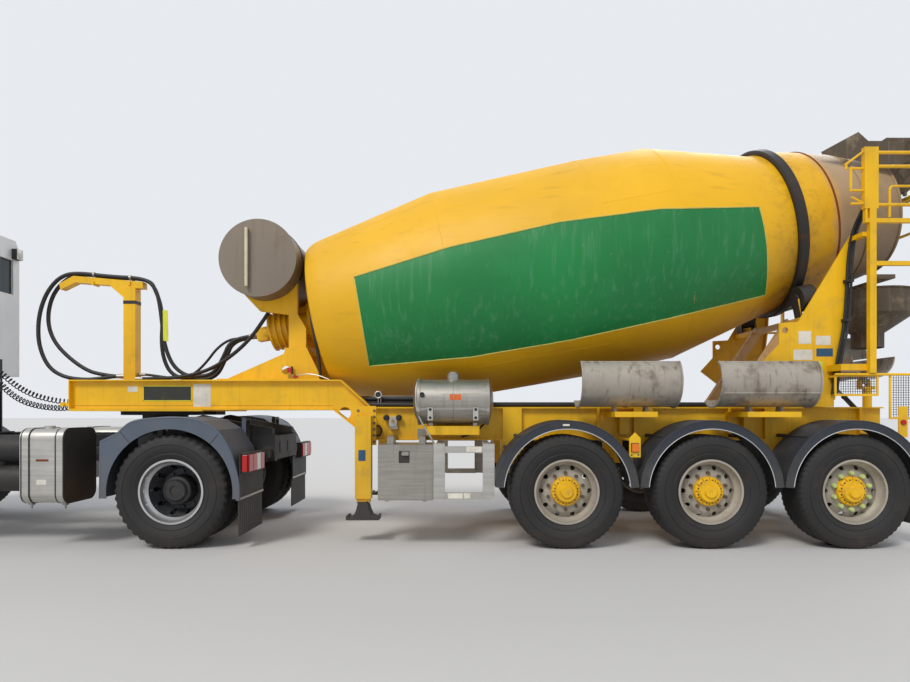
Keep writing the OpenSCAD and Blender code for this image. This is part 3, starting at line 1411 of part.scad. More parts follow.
module cab_interior() color(dark) {
    f = x_front;
    both() {
        block([f + 770, 300, cab_floor + cab_wall + seat], [f + 1190, 840, 1560]);
        block([f + 740, 290, 1540], [f + 1240, 850, 1690]);
        across(300, 540) polygon([
            [f + 1130, 1680], [f + 1260, 1680], [f + 1350, 2300],
            [f + 1240, 2300]
        ]);
        across(440, 260) polygon([
            [f + 1240, 2290], [f + 1350, 2290], [f + 1380, 2520],
            [f + 1290, 2520]
        ]);
    }
    // dash with its hood
    across(-1080, 2160) polygon([
        [cab_face + cab_wall + seat, 1560], [cab_face + 300, 1600], [cab_face + 420, 1800],
        [cab_face + 380, 1900], [cab_face + cab_wall + seat, 1940]
    ]);
    // bunk behind the seats
    block([f + 1470, -1080, bunk_z + cab_wall + seat], [cab_rear - cab_wall - seat, 1080, 2000]);
    // steering wheel and its column, left side
    translate([cab_face + 560, -570, 1850]) rotate([0, 50, 0]) {
        rotate_extrude($fn = 48) translate([215, 0]) circle(r = 15, $fn = 16);
        for (a = [0, 120, 240]) rotate(a) translate([0, -14, -8]) cube([210, 28, 16]);
        translate([0, 0, -340]) cylinder(r = 32, h = 340, $fn = 32);
    }
}

module bumper() {
    f = x_front;
    top = cab_pivot_z - 60;
    h = width / 2 - 30;
    color(dark) {
        difference() {
            translate([0, 0, 420]) linear_extrude(top - 420) polygon([
                [f, -h + 260], [f + 90, -h + 60], [f + 240, -h], [f + 328, -h],
                [f + 328, -h + 60], [f + 240, -h + 90], [f + 240, h - 90],
                [f + 328, h - 60], [f + 328, h], [f + 240, h], [f + 90, h - 60],
                [f, h - 260]
            ]);
            // lamp recesses and the air intake
            both() block([f - 1, 640, 640], [f + 60, 930, 820]);
            block([f - 1, -500, 480], [f + 80, 500, 600]);
            // towing socket
            rod_x([f - 1, -420, 720], 26, 101);
        }
        both() {
            block([f + 239, 360, rail_top - rail_h + 20], [f + 250 - seat, 420, rail_top - 20]);
            // entry steps below the door
            difference() {
                block([f + 327, h - 320, 420], [f + 780, h, 1100]);
                for (z = [520, 800]) block([f + 380, h - 180, z], [f + 720, h + 1, z + 220]);
            }
            block([f + 327, rail_y + seat, 760], [f + 367, h - 319, 820]);
            // front mudguards with their stays
            guard_arc(x_steer, width / 2 - 320, 305, 600, 12, 150, 20);
            for (a = [45, 110]) translate([x_steer, 0, wheel_z]) rotate([0, -a, 0])
                rod_y([600 + guard_t - 4, rail_y + seat, 0], 18, width / 2 - rail_y - 60);
        }
    }
    color([0.85, 0.88, 0.9]) both() block([f + 20, 660, 655], [f + 60 + eps, 910, 805]);
}

trailer_frame();
landing_legs();
running_gear();
mirror([0, 1, 0]) mudguards_side();  // mudguards_left
mudguards_side();  // mudguards_right
toolbox();
toolbox_door();
side_guards();
air_tank();
front_pedestal();
gearbox();
water_tank();
hose_gantry();
hose(hose_1_path, 2, 21, 8);  // hose_1
hose(hose_2_path, 2, 21, 8);  // hose_2
hose(hose_3_path, 3, 14, 8);  // hose_3
hose(water_hose_path, 3, 20, 8);  // water_hose
hose(air_line_1_path, 2, 34, 10);  // air_line_1
hose(air_line_2_path, 2, 34, 10);  // air_line_2
rear_pedestal();
rear_platform();
hopper();
collector();
stored_chutes();
rear_bumper();
drum();
drum_blades();
drum_ring();
roller(-1);  // roller_left
roller(1);  // roller_right
chute_swivel();
chute();
chute_tip();
chute_cylinder();
chute_rod();
single_wheel(x_axle(0), wide_y, wide_tyre_w, -1);  // wheel_1l
single_wheel(x_axle(0), wide_y, wide_tyre_w, 1);  // wheel_1r
single_wheel(x_axle(1), wide_y, wide_tyre_w, -1);  // wheel_2l
single_wheel(x_axle(1), wide_y, wide_tyre_w, 1);  // wheel_2r
single_wheel(x_axle(2), wide_y, wide_tyre_w, -1);  // wheel_3l
single_wheel(x_axle(2), wide_y, wide_tyre_w, 1);  // wheel_3r
tractor_frame();
fifth_wheel();
engine();
tractor_axles();
fuel_tank();
tractor_mudguards();
bumper();
knuckle(-1);  // knuckle_l
knuckle(1);  // knuckle_r
single_wheel(x_steer, steer_y, steer_tyre_w, -1);  // wheel_fl
single_wheel(x_steer, steer_y, steer_tyre_w, 1);  // wheel_fr
twin_wheels(-1);  // twin_wheels_l
twin_wheels(1);  // twin_wheels_r
cab_shell();
cab_glass();
cab_trim();
door(-1);  // door_l
door(1);  // door_r
cab_interior();
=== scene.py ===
import bpy
import bmesh
import math
from functools import partial
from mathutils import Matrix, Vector


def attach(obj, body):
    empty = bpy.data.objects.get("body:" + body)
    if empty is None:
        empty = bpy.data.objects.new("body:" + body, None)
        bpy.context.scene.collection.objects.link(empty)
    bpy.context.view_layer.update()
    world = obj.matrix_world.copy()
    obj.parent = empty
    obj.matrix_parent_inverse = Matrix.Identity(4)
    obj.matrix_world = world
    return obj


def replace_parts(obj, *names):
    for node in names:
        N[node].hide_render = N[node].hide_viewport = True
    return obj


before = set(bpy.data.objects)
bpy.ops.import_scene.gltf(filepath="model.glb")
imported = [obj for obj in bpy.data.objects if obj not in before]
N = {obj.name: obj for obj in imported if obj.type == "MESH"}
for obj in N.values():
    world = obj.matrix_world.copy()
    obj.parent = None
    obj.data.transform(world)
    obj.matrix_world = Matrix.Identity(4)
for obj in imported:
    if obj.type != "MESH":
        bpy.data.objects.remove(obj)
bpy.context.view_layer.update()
sin, cos, pi, rad, hyp = math.sin, math.cos, math.pi, math.radians, math.hypot

# ---- named places, in metres, as in the part's source ----
TILT = rad(11.2)
TOTAL = 1.4 + 3.6 - 0.6 + 1.762 + 6.0 * cos(TILT) + 0.552
XF = -TOTAL / 2                     # front bumper
XS = XF + 1.4                       # steered axle
XD = XS + 3.6                       # driven axle
XK = XD - 0.6                       # kingpin
AX = [XK + 4.198 + 1.31 * i for i in range(3)]
XDR, ZDR = XK + 1.762, 2.24         # front end of the drum's axis
XRING, ZRING = XDR + 4.85 * cos(TILT), ZDR + 4.85 * sin(TILT)
CF = XF + 0.04                      # cab front
CH = 1.22                           # half of the cab's width
CREAR = XF + 1.912                  # cab rear wall
ZW = 0.52                           # wheel centres
LEG_X = XK + 2.306                  # landing legs
WATER_X, WATER_Z = XK + 1.207, 2.79  # water tank's axis
RAIL_Y = -1.035                     # rails of the platform, left side
AXIS = Vector((cos(TILT), 0, sin(TILT)))
ACROSS = Vector((0, 1, 0))
UPD = Vector((-sin(TILT), 0, cos(TILT)))
DRUM = Vector((XDR, 0, ZDR))
EYE = Vector((1.282, -6.85, 1.247))


def show(name, data):
    """A new object in the scene."""
    o = bpy.data.objects.new(name, data)
    bpy.context.scene.collection.objects.link(o)
    return o


# ---- camera ----
cam = show("camera", bpy.data.cameras.new("camera"))
cam.location = EYE
cam.rotation_euler = (rad(90), 0, 0)
cam.data.lens = 24.53
cam.data.sensor_width = 36
cam.data.shift_y = 71 / 910
cam.data.clip_end = 400
bpy.context.scene.camera = cam
bpy.context.scene.view_settings.view_transform = "Standard"


# ---- shader helpers ----
def rgb(r, g, b):
    """A colour given as 0-255 screen values."""
    return tuple(v / 12.92 if v <= 0.04045 else ((v + 0.055) / 1.055) ** 2.4
                 for v in (r / 255, g / 255, b / 255)) + (1,)


def put(nt, kind, ins, out=0, **props):
    """Adds a shader node, sets or links its inputs, and gives one of its outputs."""
    n = nt.nodes.new("ShaderNode" + kind)
    for k, v in props.items():
        setattr(n, k, v)
    for k, v in ins.items():
        if isinstance(v, bpy.types.NodeSocket):
            nt.links.new(v, n.inputs[k])
        else:
            n.inputs[k].default_value = v
    return n.outputs[out]


def calc(op, a, b, clamp=False):
    nt = (a if isinstance(a, bpy.types.NodeSocket) else b).id_data
    return put(nt, "Math", {0: a, 1: b}, operation=op, use_clamp=clamp)


add, sub, mul = (partial(calc, op) for op in ("ADD", "SUBTRACT", "MULTIPLY"))


def mix(fac, a, b):
    nt = (fac if isinstance(fac, bpy.types.NodeSocket) else a).id_data
    return put(nt, "Mix", {0: fac, 6: a, 7: b}, 2, data_type="RGBA")


def ramp(v, lo, hi):
    return put(v.id_data, "MapRange", {0: v, 1: lo, 2: hi}, interpolation_type="SMOOTHSTEP")


def noise(vec, scale, detail=4, rough=0.55):
    return put(vec.id_data, "TexNoise", {"Vector": vec, "Scale": scale, "Detail": detail, "Roughness": rough})


def stretched(vec, scale, detail):
    return noise(put(vec.id_data, "Mapping", {0: vec, 3: scale}), 1.0, detail)


def place(nt):
    """The object's coordinates, and their X and Z."""
    tc = put(nt, "TexCoord", {}, "Object")
    sep = put(nt, "SeparateXYZ", {0: tc}).node
    return tc, sep.outputs[0], sep.outputs[2]


M = {}


def material(key, name):
    m = M[key] = bpy.data.materials.new(name)
    m.use_nodes = True
    return m.node_tree, m.node_tree.nodes["Principled BSDF"].inputs


def surf(key, name, base, rough=0.5, metal=0.0, dirt=0.35, soil=(112, 98, 80), scale=5.0, low=None, streak=0.0,
         runs=None, bump=0.0, bump_scale=60.0, vary=0.12, coat=0.0, chips=0.0, chip=(70, 55, 40), brushed_sheen=None):
    """A procedural surface: base colour, slow variation, soil in patches, more soil below a height,
    streaks that run down, chipped spots, and fine bumps. Colours are 0-255 screen values."""
    nt, bsdf = material(key, name)
    base, soil = rgb(*base), rgb(*soil)
    tc, _, height = place(nt)

    def shade(f):
        return tuple(min(1, c * f) for c in base[:3]) + (1,)
    col = mix(ramp(noise(tc, scale * 0.35, 3), 0.3, 0.7), shade(1 - vary), shade(1 + vary * 0.5))
    patches = noise(tc, scale, 6, 0.62)
    fac = mul(ramp(patches, 0.5, 0.78), dirt)
    if low:
        fac = add(fac, mul(mul(ramp(height, low[1], low[0]), low[2]), add(mul(patches, 1.1), 0.35)), True)
    col = mix(fac, col, soil)
    if streak:
        s = ramp(stretched(tc, (22, 22, 1.3), 3), 0.52, 0.72)
        col = mix(mul(s, streak), col, rgb(*runs) if runs else soil)
    if chips:
        col = mix(mul(ramp(noise(tc, scale * 9, 5, 0.7), 0.66, 0.70), chips), col, rgb(*chip))
    # darker stretched bands: painted sheen of brushed metal
    if brushed_sheen:
        col = mix(mul(ramp(stretched(tc, brushed_sheen, 2), 0.3, 0.75), 0.45), col, shade(0.55))
    nt.links.new(col, bsdf["Base Color"])
    r = add(mul(patches, 0.35), rough - 0.14, True)
    nt.links.new(add(r, mul(fac, 0.3), True), bsdf["Roughness"])
    bsdf["Metallic"].default_value = metal
    if coat:
        bsdf["Coat Weight"].default_value = coat
        bsdf["Coat Roughness"].default_value = 0.2
    if bump:
        n = put(nt, "Bump", {"Strength": bump, "Distance": 0.004, "Height": noise(tc, bump_scale, 4)})
        nt.links.new(n, bsdf["Normal"])


def plain(key, name, base, rough=0.4, metal=0.0, more={}):
    bsdf = material(key, name)[1]
    for k, v in {"Base Color": rgb(*base), "Roughness": rough, "Metallic": metal, **more}.items():
        bsdf[k].default_value = v


surf("yellow", "yellow_paint", (244, 190, 8), 0.42, dirt=0.28, low=(0.3, 1.35, 0.28), streak=0.16, chips=0.25,
     runs=(150, 105, 30), bump=0.04)
surf("yellow_clean", "yellow_clean", (246, 198, 10), 0.4, dirt=0.14, bump=0.03)
surf("yellow_hub", "yellow_hub", (240, 186, 10), 0.45, dirt=0.45, scale=14)
surf("steel", "stainless", (168, 164, 156), 0.36, 0.75, dirt=0.3, soil=(120, 110, 96), streak=0.25, scale=4,
     brushed_sheen=(3, 3, 60))
surf("tank", "tank_steel", (132, 120, 106), 0.5, 0.3, dirt=0.6, soil=(100, 80, 58), scale=1.7, streak=0.2, bump=0.03)
surf("chute", "chute_steel", (176, 168, 156), 0.5, 0.35, dirt=0.75, soil=(104, 88, 70), streak=0.55,
     runs=(92, 78, 62), bump=0.12, bump_scale=30)
surf("raw", "worn_steel", (92, 80, 66), 0.7, 0.1, dirt=0.9, soil=(158, 144, 118), bump=0.35, bump_scale=24,
     chips=0.5, chip=(60, 44, 30), streak=0.3)
surf("alu", "aluminium", (196, 194, 188), 0.38, 0.6, dirt=0.25, soil=(150, 142, 128), low=(0.3, 0.8, 0.25),
     brushed_sheen=(2, 2, 40))
surf("dark", "dark_steel", (38, 38, 40), 0.55, 0.1, dirt=0.5, soil=(92, 84, 74), scale=6, low=(0.2, 1.0, 0.35),
     bump=0.06)
surf("guard", "guard_plastic", (44, 49, 58), soil=(98, 92, 84), low=(0.35, 1.1, 0.45))
surf("slate", "slate_plastic", (84, 94, 108), dirt=0.3, soil=(112, 104, 94), low=(0.35, 1.0, 0.4))
surf("cast", "cast_iron", (58, 57, 56), 0.6, 0.4, dirt=0.5, soil=(96, 80, 62), scale=9, bump=0.2)
surf("white", "white_paint", (226, 227, 225), 0.3, dirt=0.12, soil=(150, 146, 138), scale=3, low=(1.1, 1.9, 0.25),
     streak=0.05, coat=0.3)
surf("bumper", "bumper_paint", (214, 215, 213), 0.38, dirt=0.2, soil=(130, 122, 110), scale=4, low=(0.35, 1.0, 0.5))
surf("trim", "dark_trim", (42, 43, 45), dirt=0.2, scale=6)
surf("rubber", "hose_rubber", (30, 30, 31), dirt=0.3, soil=(88, 82, 72), scale=18, bump=0.1, bump_scale=160)
surf("tyre", "tyre_rubber", (34, 33, 33), 0.66, dirt=0.45, soil=(78, 70, 62), scale=4, low=(0.0, 0.3, 0.3), bump=0.2,
     bump_scale=120)
surf("rim", "rim_steel", (172, 164, 150), 0.5, 0.15, dirt=0.55, soil=(124, 106, 84), scale=8, bump=0.06)
surf("nut", "wheel_nuts", (96, 80, 62), 0.5, 0.4, dirt=0.5, soil=(150, 132, 106), scale=30)
surf("dish", "rim_dish", (74, 75, 78), 0.5, 0.3, dirt=0.5, soil=(48, 42, 36), scale=9)
surf("end_face", "tank_end", (74, 72, 68), 0.4, 0.5, dirt=0.6, soil=(92, 60, 26), scale=2.5, low=(0.45, 0.95, 0.5))
# pale beige of the sloped braces: a painted sunlit highlight on their yellow paint, with real rust-brown streaks
surf("beige", "painted_sunlit_beige", (214, 178, 128), 0.6, dirt=0.5, soil=(132, 84, 40), scale=6, streak=0.3)
surf("rust", "rust", (126, 58, 24), 0.7, 0.2, dirt=0.4, soil=(70, 40, 22), scale=20)
# a dark yellow strip that paints a shadow line along the gooseneck's beams
surf("painted_shadow_line", "shadow_line", (150, 108, 20), 0.6, dirt=0.4, scale=9)
surf("dark_label", "dark_label", (42, 44, 34), 0.45, dirt=0.4, soil=(110, 90, 30), scale=14)
surf("chrome_rim", "drive_rim", (196, 196, 196), 0.28, 0.7, dirt=0.25, soil=(96, 90, 84), scale=9)
surf("ring", "running_ring", (46, 42, 40), 0.5, 0.3, dirt=0.7, soil=(104, 62, 30), scale=7, bump=0.1)
surf("hub_dark", "hub_dark", (50, 50, 52), 0.5, 0.3, dirt=0.5, scale=16, bump=0.2)
plain("red", "red_lens", (186, 18, 20), 0.15)
plain("amber", "amber_lens", (232, 120, 14), 0.2)
plain("white_lens", "white_lens", (222, 224, 224), 0.12)
surf("label", "blank_label", (226, 222, 208), dirt=0.4, soil=(170, 150, 110), scale=20)
surf("blue_label", "blue_label", (34, 84, 118), 0.45, dirt=0.3, scale=20)
surf("green_cap", "nut_cover", (190, 206, 132), dirt=0.3, scale=30)
plain("red_valve", "red_handle", (176, 30, 24), 0.4)
surf("tag", "yellow_tag", (222, 226, 60), dirt=0.3, scale=20)
surf("gauge", "gauge_tube", (220, 210, 178), 0.35, dirt=0.3, scale=14)
surf("trim_line", "pale_line", (206, 208, 210), dirt=0.3, scale=20)
surf("bolt", "bolt_steel", (120, 112, 96), 0.45, 0.6, dirt=0.4, soil=(110, 78, 40), scale=30)
surf("label_orange", "orange_label", (206, 96, 30), dirt=0.5, soil=(120, 100, 80), scale=16)
plain("mirror", "mirror_glass", (200, 205, 210), 0.03, 1.0)
plain("copper", "brass", (170, 130, 60), 0.35, 0.8)
surf("green", "green_panel", (8, 128, 60), dirt=0.22, soil=(60, 150, 96), scale=2.2, streak=0.08,
     runs=(180, 205, 185), chips=0.10, chip=(190, 210, 190), vary=0.18)
surf("panel_edge", "panel_edge", (214, 196, 92), dirt=0.3, scale=12)
plain("glass", "window_glass", (70, 84, 88), 0.06, 0.0, {"Transmission Weight": 0.55, "IOR": 1.45})


def drum_material():
    """Weathered yellow that turns to grey-brown slurry at the mouth, with rust by the ring."""
    surf("drum", "drum_paint", (244, 186, 6), 0.46, dirt=0.16, soil=(176, 128, 30), scale=1.6, bump=0.05,
         bump_scale=20, vary=0.10)
    nt = M["drum"].node_tree
    base = nt.nodes["Principled BSDF"].inputs["Base Color"]
    tc, x, z = place(nt)
    x, z = sub(x, XDR), sub(z, ZDR)
    wob = mul(sub(noise(tc, 2.3, 6, 0.65), 0.5), 0.35)
    # distance along the axis, and below it
    along = add(add(mul(x, cos(TILT)), mul(z, sin(TILT))), wob)
    below = add(sub(mul(x, sin(TILT)), mul(z, cos(TILT))), wob)
    fine = noise(tc, 9, 6, 0.7)
    under = ramp(below, -0.25, 0.75)
    # slurry beyond the dark weld of the neck, darker underneath and towards the mouth
    col = mix(mul(ramp(along, 5.16, 5.34), 0.92), base.links[0].from_socket, rgb(176, 152, 122))
    col = mix(mul(ramp(along, 5.2, 5.5), mul(under, 0.75)), col, rgb(92, 70, 46))
    col = mix(mul(ramp(along, 5.3, 6.1), mul(fine, 0.7)), col, rgb(96, 80, 62))
    # brown runs on the low side of the ring
    near = mul(ramp(along, 4.35, 4.82), ramp(along, 5.5, 4.9))
    spots = add(mul(ramp(fine, 0.44, 0.78), 0.45), mul(under, 0.6), True)
    col = mix(mul(near, spots), col, rgb(126, 82, 30))
    # the underside of the whole drum is browner, with thin runs along the slope
    col = mix(mul(ramp(below, 0.55, 1.15), 0.45), col, rgb(150, 100, 26))
    thin = ramp(stretched(tc, (1.2, 14, 14), 3), 0.56, 0.74)
    nt.links.new(mix(mul(thin, 0.18), col, rgb(150, 100, 26)), base)


drum_material()

# ---- floor, backdrop and light ----
floor = bpy.data.meshes.new("floor")
floor.from_pydata([(-90, -60, 0), (90, -60, 0), (90, 120, 0), (-90, 120, 0)], [], [(0, 1, 2, 3)])
floor_look = material("floor", "floor")[1]
floor_look["Base Color"].default_value = (0.62, 0.61, 0.59, 1)
floor_look["Roughness"].default_value = 0.9
floor.materials.append(M["floor"])
show("floor", floor)

world = bpy.context.scene.world = bpy.data.worlds.new("world")
world.use_nodes = True
sky = world.node_tree
light = sky.nodes["Background"]
light.inputs[0].default_value = (0.86, 0.90, 1.0, 1)
light.inputs[1].default_value = 0.62
backdrop = put(sky, "Background", {0: (0.80, 0.83, 0.87, 1), 1: 1.0})
rays = put(sky, "LightPath", {}).node.outputs
seen = add(add(rays["Is Camera Ray"], rays["Is Glossy Ray"]), rays["Is Transmission Ray"], True)
sky.links.new(put(sky, "MixShader", {0: seen, 1: light.outputs[0], 2: backdrop}), sky.nodes["World Output"].inputs[0])


def sun(name, direction, strength, angle, color):
    d = bpy.data.lights.new(name, "SUN")
    d.energy, d.angle, d.color = strength, rad(angle), color
    show(name, d).rotation_euler = Vector(direction).to_track_quat("-Z", "Y").to_euler()


sun("key", (0.45, 0.75, -0.9), 1.7, 18, (1.0, 0.97, 0.92))
sun("back", (-0.5, -0.8, -0.8), 0.7, 25, (0.92, 0.96, 1.0))


# ---- mesh helpers ----
def circle(c, u, v, r, n):
    """n points round c, in the plane of u and v."""
    c, u, v = Vector(c), Vector(u), Vector(v)
    return [c + r * (cos(2 * pi * k / n) * u + sin(2 * pi * k / n) * v) for k in range(n)]


def smooth_path(p, n):
    """The rounding that the part's source gives its routes."""
    p = [Vector(q) for q in p]
    out = [p[0]]
    for i in range(1, len(p) - 1):
        a, b, c = (p[i - 1] + p[i]) / 2, p[i], (p[i] + p[i + 1]) / 2
        for k in range(n + 1):
            t = (k + (i > 1)) / (n + 1)
            out.append(a * (1 - t) ** 2 + b * 2 * t * (1 - t) + c * t * t)
    return out + [p[-1]]


class Piece:
    """Collects simple solids into one mesh that rides on a body."""

    def __init__(self, name, body, *mats):
        self.name, self.body, self.mats = name, body, mats
        self.v, self.f, self.m, self.s = [], [], [], []
        self.cur = 0

    def mat(self, i):
        self.cur = i
        return self

    def add(self, verts, faces, smooth=False, flat=()):
        k = len(self.v)
        self.v += [tuple(p) for p in verts]
        for group, s in ((faces, smooth), (flat, False)):
            self.f += [tuple(k + i for i in f) for f in group]
            self.m += [self.cur] * len(group)
            self.s += [s] * len(group)
        return self

    def box(self, a, b):
        v = [(x, y, z) for x in sorted((a[0], b[0])) for y in sorted((a[1], b[1])) for z in sorted((a[2], b[2]))]
        return self.add(v, [(0, 1, 3, 2), (4, 6, 7, 5), (0, 4, 5, 1), (2, 3, 7, 6), (0, 2, 6, 4), (1, 5, 7, 3)])

    def tube(self, path, r, n=12, closed=False):
        """A tube along the path; r is one radius, or one for each point."""
        path = [Vector(p) for p in path]
        cnt = len(path)
        v = []
        side = None
        for i, p in enumerate(path):
            a, b = (i - 1, (i + 1) % cnt) if closed else (max(i - 1, 0), min(i + 1, cnt - 1))
            d = (path[b] - path[a]).normalized()
            ref = Vector((0, 0, 1) if abs(d.z) < 0.9 else (1, 0, 0)) if side is None else side
            side = (ref - d * ref.dot(d)).normalized()
            v += circle(p, side, d.cross(side), r[i] if isinstance(r, (list, tuple)) else r, n)
        f = [(i * n + k, (i + 1) % cnt * n + k, (i + 1) % cnt * n + (k + 1) % n, i * n + (k + 1) % n)
             for i in range(cnt if closed else cnt - 1) for k in range(n)]
        ends = [] if closed else [range(n), range((cnt - 1) * n, cnt * n)]
        return self.add(v, f, True, ends)

    def ring(self, c, u, v, r, tube_r, n, sides=6):
        return self.tube(circle(c, u, v, r, n), tube_r, sides, closed=True)

    def pipe(self, points, k, r, n=10):
        """A tube whose corners are rounded with k points each."""
        return self.tube(smooth_path(points, k), r, n)

    def rod(self, a, b, r, n=16):
        return self.tube([a, b], r, n)

    def lathe(self, origin, axis, profile, n=48, smooth=True):
        """Profile of (radius, distance along the axis), turned about the axis through origin."""
        w = Vector(axis).normalized()
        u = Vector((0, 0, 1) if abs(w.z) < 0.9 else (1, 0, 0))
        u = (u - w * u.dot(w)).normalized()
        side = w.cross(u)
        o = Vector(origin)
        k = len(profile)
        v = []
        for j in range(n):
            e = cos(2 * pi * j / n) * u + sin(2 * pi * j / n) * side
            v += [o + e * r + w * t for r, t in profile]
        f = [(j * k + i, j * k + i + 1, (j + 1) % n * k + i + 1, (j + 1) % n * k + i)
             for j in range(n) for i in range(k - 1)]
        return self.add(v, f, smooth)

    def bolt(self, p, axis, r, h):
        """A hexagon head with its washer."""
        self.lathe(p, axis, [(0, 0.003), (r * 1.5, 0.003), (r * 1.5, 0)], 16, False)
        return self.lathe(p, axis, [(0, h + 0.003), (r * 0.9, h + 0.003), (r, h), (r, 0.002)], 6, False)

    def plate(self, pts, thick):
        """A flat polygon, pts in order, thickened along the vector thick."""
        n = len(pts)
        a = [Vector(p) for p in pts]
        f = [(i, n + i, n + (i + 1) % n, (i + 1) % n) for i in range(n)]
        return self.add(a + [p + Vector(thick) for p in a], [range(n), range(2 * n - 1, n - 1, -1)] + f)

    def done(self, slot, bevel=0.0, smooth_angle=40):
        me = bpy.data.meshes.new(self.name)
        me.from_pydata(self.v, [], self.f)
        me.validate()
        me.polygons.foreach_set("material_index", self.m[:len(me.polygons)])
        me.polygons.foreach_set("use_smooth", self.s[:len(me.polygons)])
        bm = bmesh.new()
        bm.from_mesh(me)
        bmesh.ops.recalc_face_normals(bm, faces=bm.faces)
        o = from_bmesh(bm, me, self.mats, smooth_angle)
        if bevel:
            b = o.modifiers.new("bevel", "BEVEL")
            b.width, b.segments, b.angle_limit = bevel, 2, rad(50)
            b.limit_method = "ANGLE"
        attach(o, self.body)
        return o


def from_bmesh(bm, me, mats, degrees):
    """The object of a mesh, with its materials, smooth at edges under a number of degrees."""
    for e in bm.edges:
        e.smooth = len(e.link_faces) == 2 and e.calc_face_angle(0) < rad(degrees)
    for m in mats:
        me.materials.append(M[m])
    bm.to_mesh(me)
    bm.free()
    return show(me.name, me)


# ---- cords: hydraulic hoses and curly air lines ----
def route(points):
    return [Vector((XK + x / 1000, y / 1000, z / 1000)) for x, y, z in points]


def motor_point(d, y):
    return DRUM + AXIS * (d - 0.765) + ACROSS * y


S = 0.3
R1 = route([(-449 - S, -30, 1640), (-560, -30, 1640), (-720, -32, 1615), (-890, -34, 1600), (-1120, -36, 1630),
            (-1290, -38, 1740), (-1385, -38, 1960), (-1402, -36, 2170), (-1378, -34, 2370), (-1305, -30, 2570),
            (-1170, -30, 2730), (-1000, -30, 2782), (-600, -30, 2735), (-210, -30, 2715), (-100, -32, 2590),
            (-60, -34, 2410), (-35, -36, 2200), (-10, -36, 1980), (70, -36, 1770), (200, -36, 1655),
            (360, -36, 1630), (540, -38, 1670), (640, -42, 1850), (720, -45, 2036)]) + [motor_point(-S / 1000, -0.045)]
R2 = route([(-449 - S, 30, 1640), (-560, 30, 1640), (-720, 30, 1660), (-890, 30, 1700), (-1080, 30, 1830),
            (-1240, 30, 1990), (-1322, 30, 2160), (-1335, 30, 2350), (-1280, 30, 2550), (-1160, 30, 2700),
            (-1000, 30, 2784), (-600, 30, 2735), (-200, 30, 2718), (-140, 34, 2590), (-85, 40, 2440),
            (-70, 44, 2220), (-84, 46, 2030), (-60, 48, 1835), (20, 48, 1670), (190, 46, 1608),
            (520, 44, 1608), (640, 45, 1850), (715, 45, 2036)]) + [motor_point(-S / 1000, 0.045)]
R3 = route([(-319 + S, 0, 1660), (-220, 0, 1660), (-80, 0, 1640), (70, 0, 1620), (200, 0, 1622), (320, 0, 1680),
            (440, 0, 1800), (550, 0, 1950), (690, 0, 2050), (830, 0, 2060)]) \
    + [motor_point(-0.1, 0), motor_point(-S / 1000, 0)]
R4 = route([(1207, -230, 2405 - S), (1207, -230, 2330), (1120, -235, 2200), (1010, -225, 2050), (850, -200, 1900),
            (640, -190, 1750), (440, -180, 1665), (200, -160, 1620), (-50, -120, 1610), (-220, -40, 1610),
            (-319 + S, -40, 1610)])
A1 = route([(-2000 + S, 0, 1720), (-1940, 0, 1720), (-1840, 0, 1690), (-1700, 0, 1560), (-1500, 0, 1440),
            (-1250, 20, 1370), (-1000, 60, 1350), (-780, 90, 1375), (-669 - S, 90, 1375)])
A2 = route([(-2000 + S, 0, 1600), (-1940, 0, 1600), (-1840, 0, 1570), (-1720, -20, 1450), (-1520, -40, 1340),
            (-1250, -60, 1290), (-1000, -80, 1290), (-780, -90, 1375), (-669 - S, -90, 1375)])


def length_of(path):
    return sum((b - a).length for a, b in zip(path, path[1:]))


def resample(path, step):
    total = length_of(path)
    n = max(2, round(total / step))
    out, i, gone = [], 0, 0
    for k in range(n + 1):
        want = total * k / n
        while i < len(path) - 2 and gone + (path[i + 1] - path[i]).length < want:
            gone += (path[i + 1] - path[i]).length
            i += 1
        a, b = path[i:i + 2]
        out.append(a.lerp(b, min(1, max(0, (want - gone) / (b - a).length))))
    return out


def hose(node_name, pts, r):
    """A smooth hose along the route, with a crimped steel ferrule at each end."""
    fine = resample(smooth_path(pts, 8), 0.02)
    o = Piece(node_name + "_skin", "trailer", "rubber").tube(fine, r, 20).done("hose_rubber")
    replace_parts(o, node_name)
    ends = Piece(node_name + "_ends", "trailer", "steel")
    for a, b in ((fine[0], fine[2]), (fine[-1], fine[-3])):
        d = (b - a).normalized()
        ends.tube([a, a + d * 0.05, a + d * 0.052, a + d * 0.085], [r * 1.28, r * 1.28, r * 1.12, r * 1.12], 20)
    e = ends.done("stainless")
    round(length_of(fine), 3)
    return fine


F1 = hose("hose_1", R1, 0.021)
hose("hose_2", R2, 0.021)
hose("hose_3", R3, 0.014)
hose("water_hose", R4, 0.020)


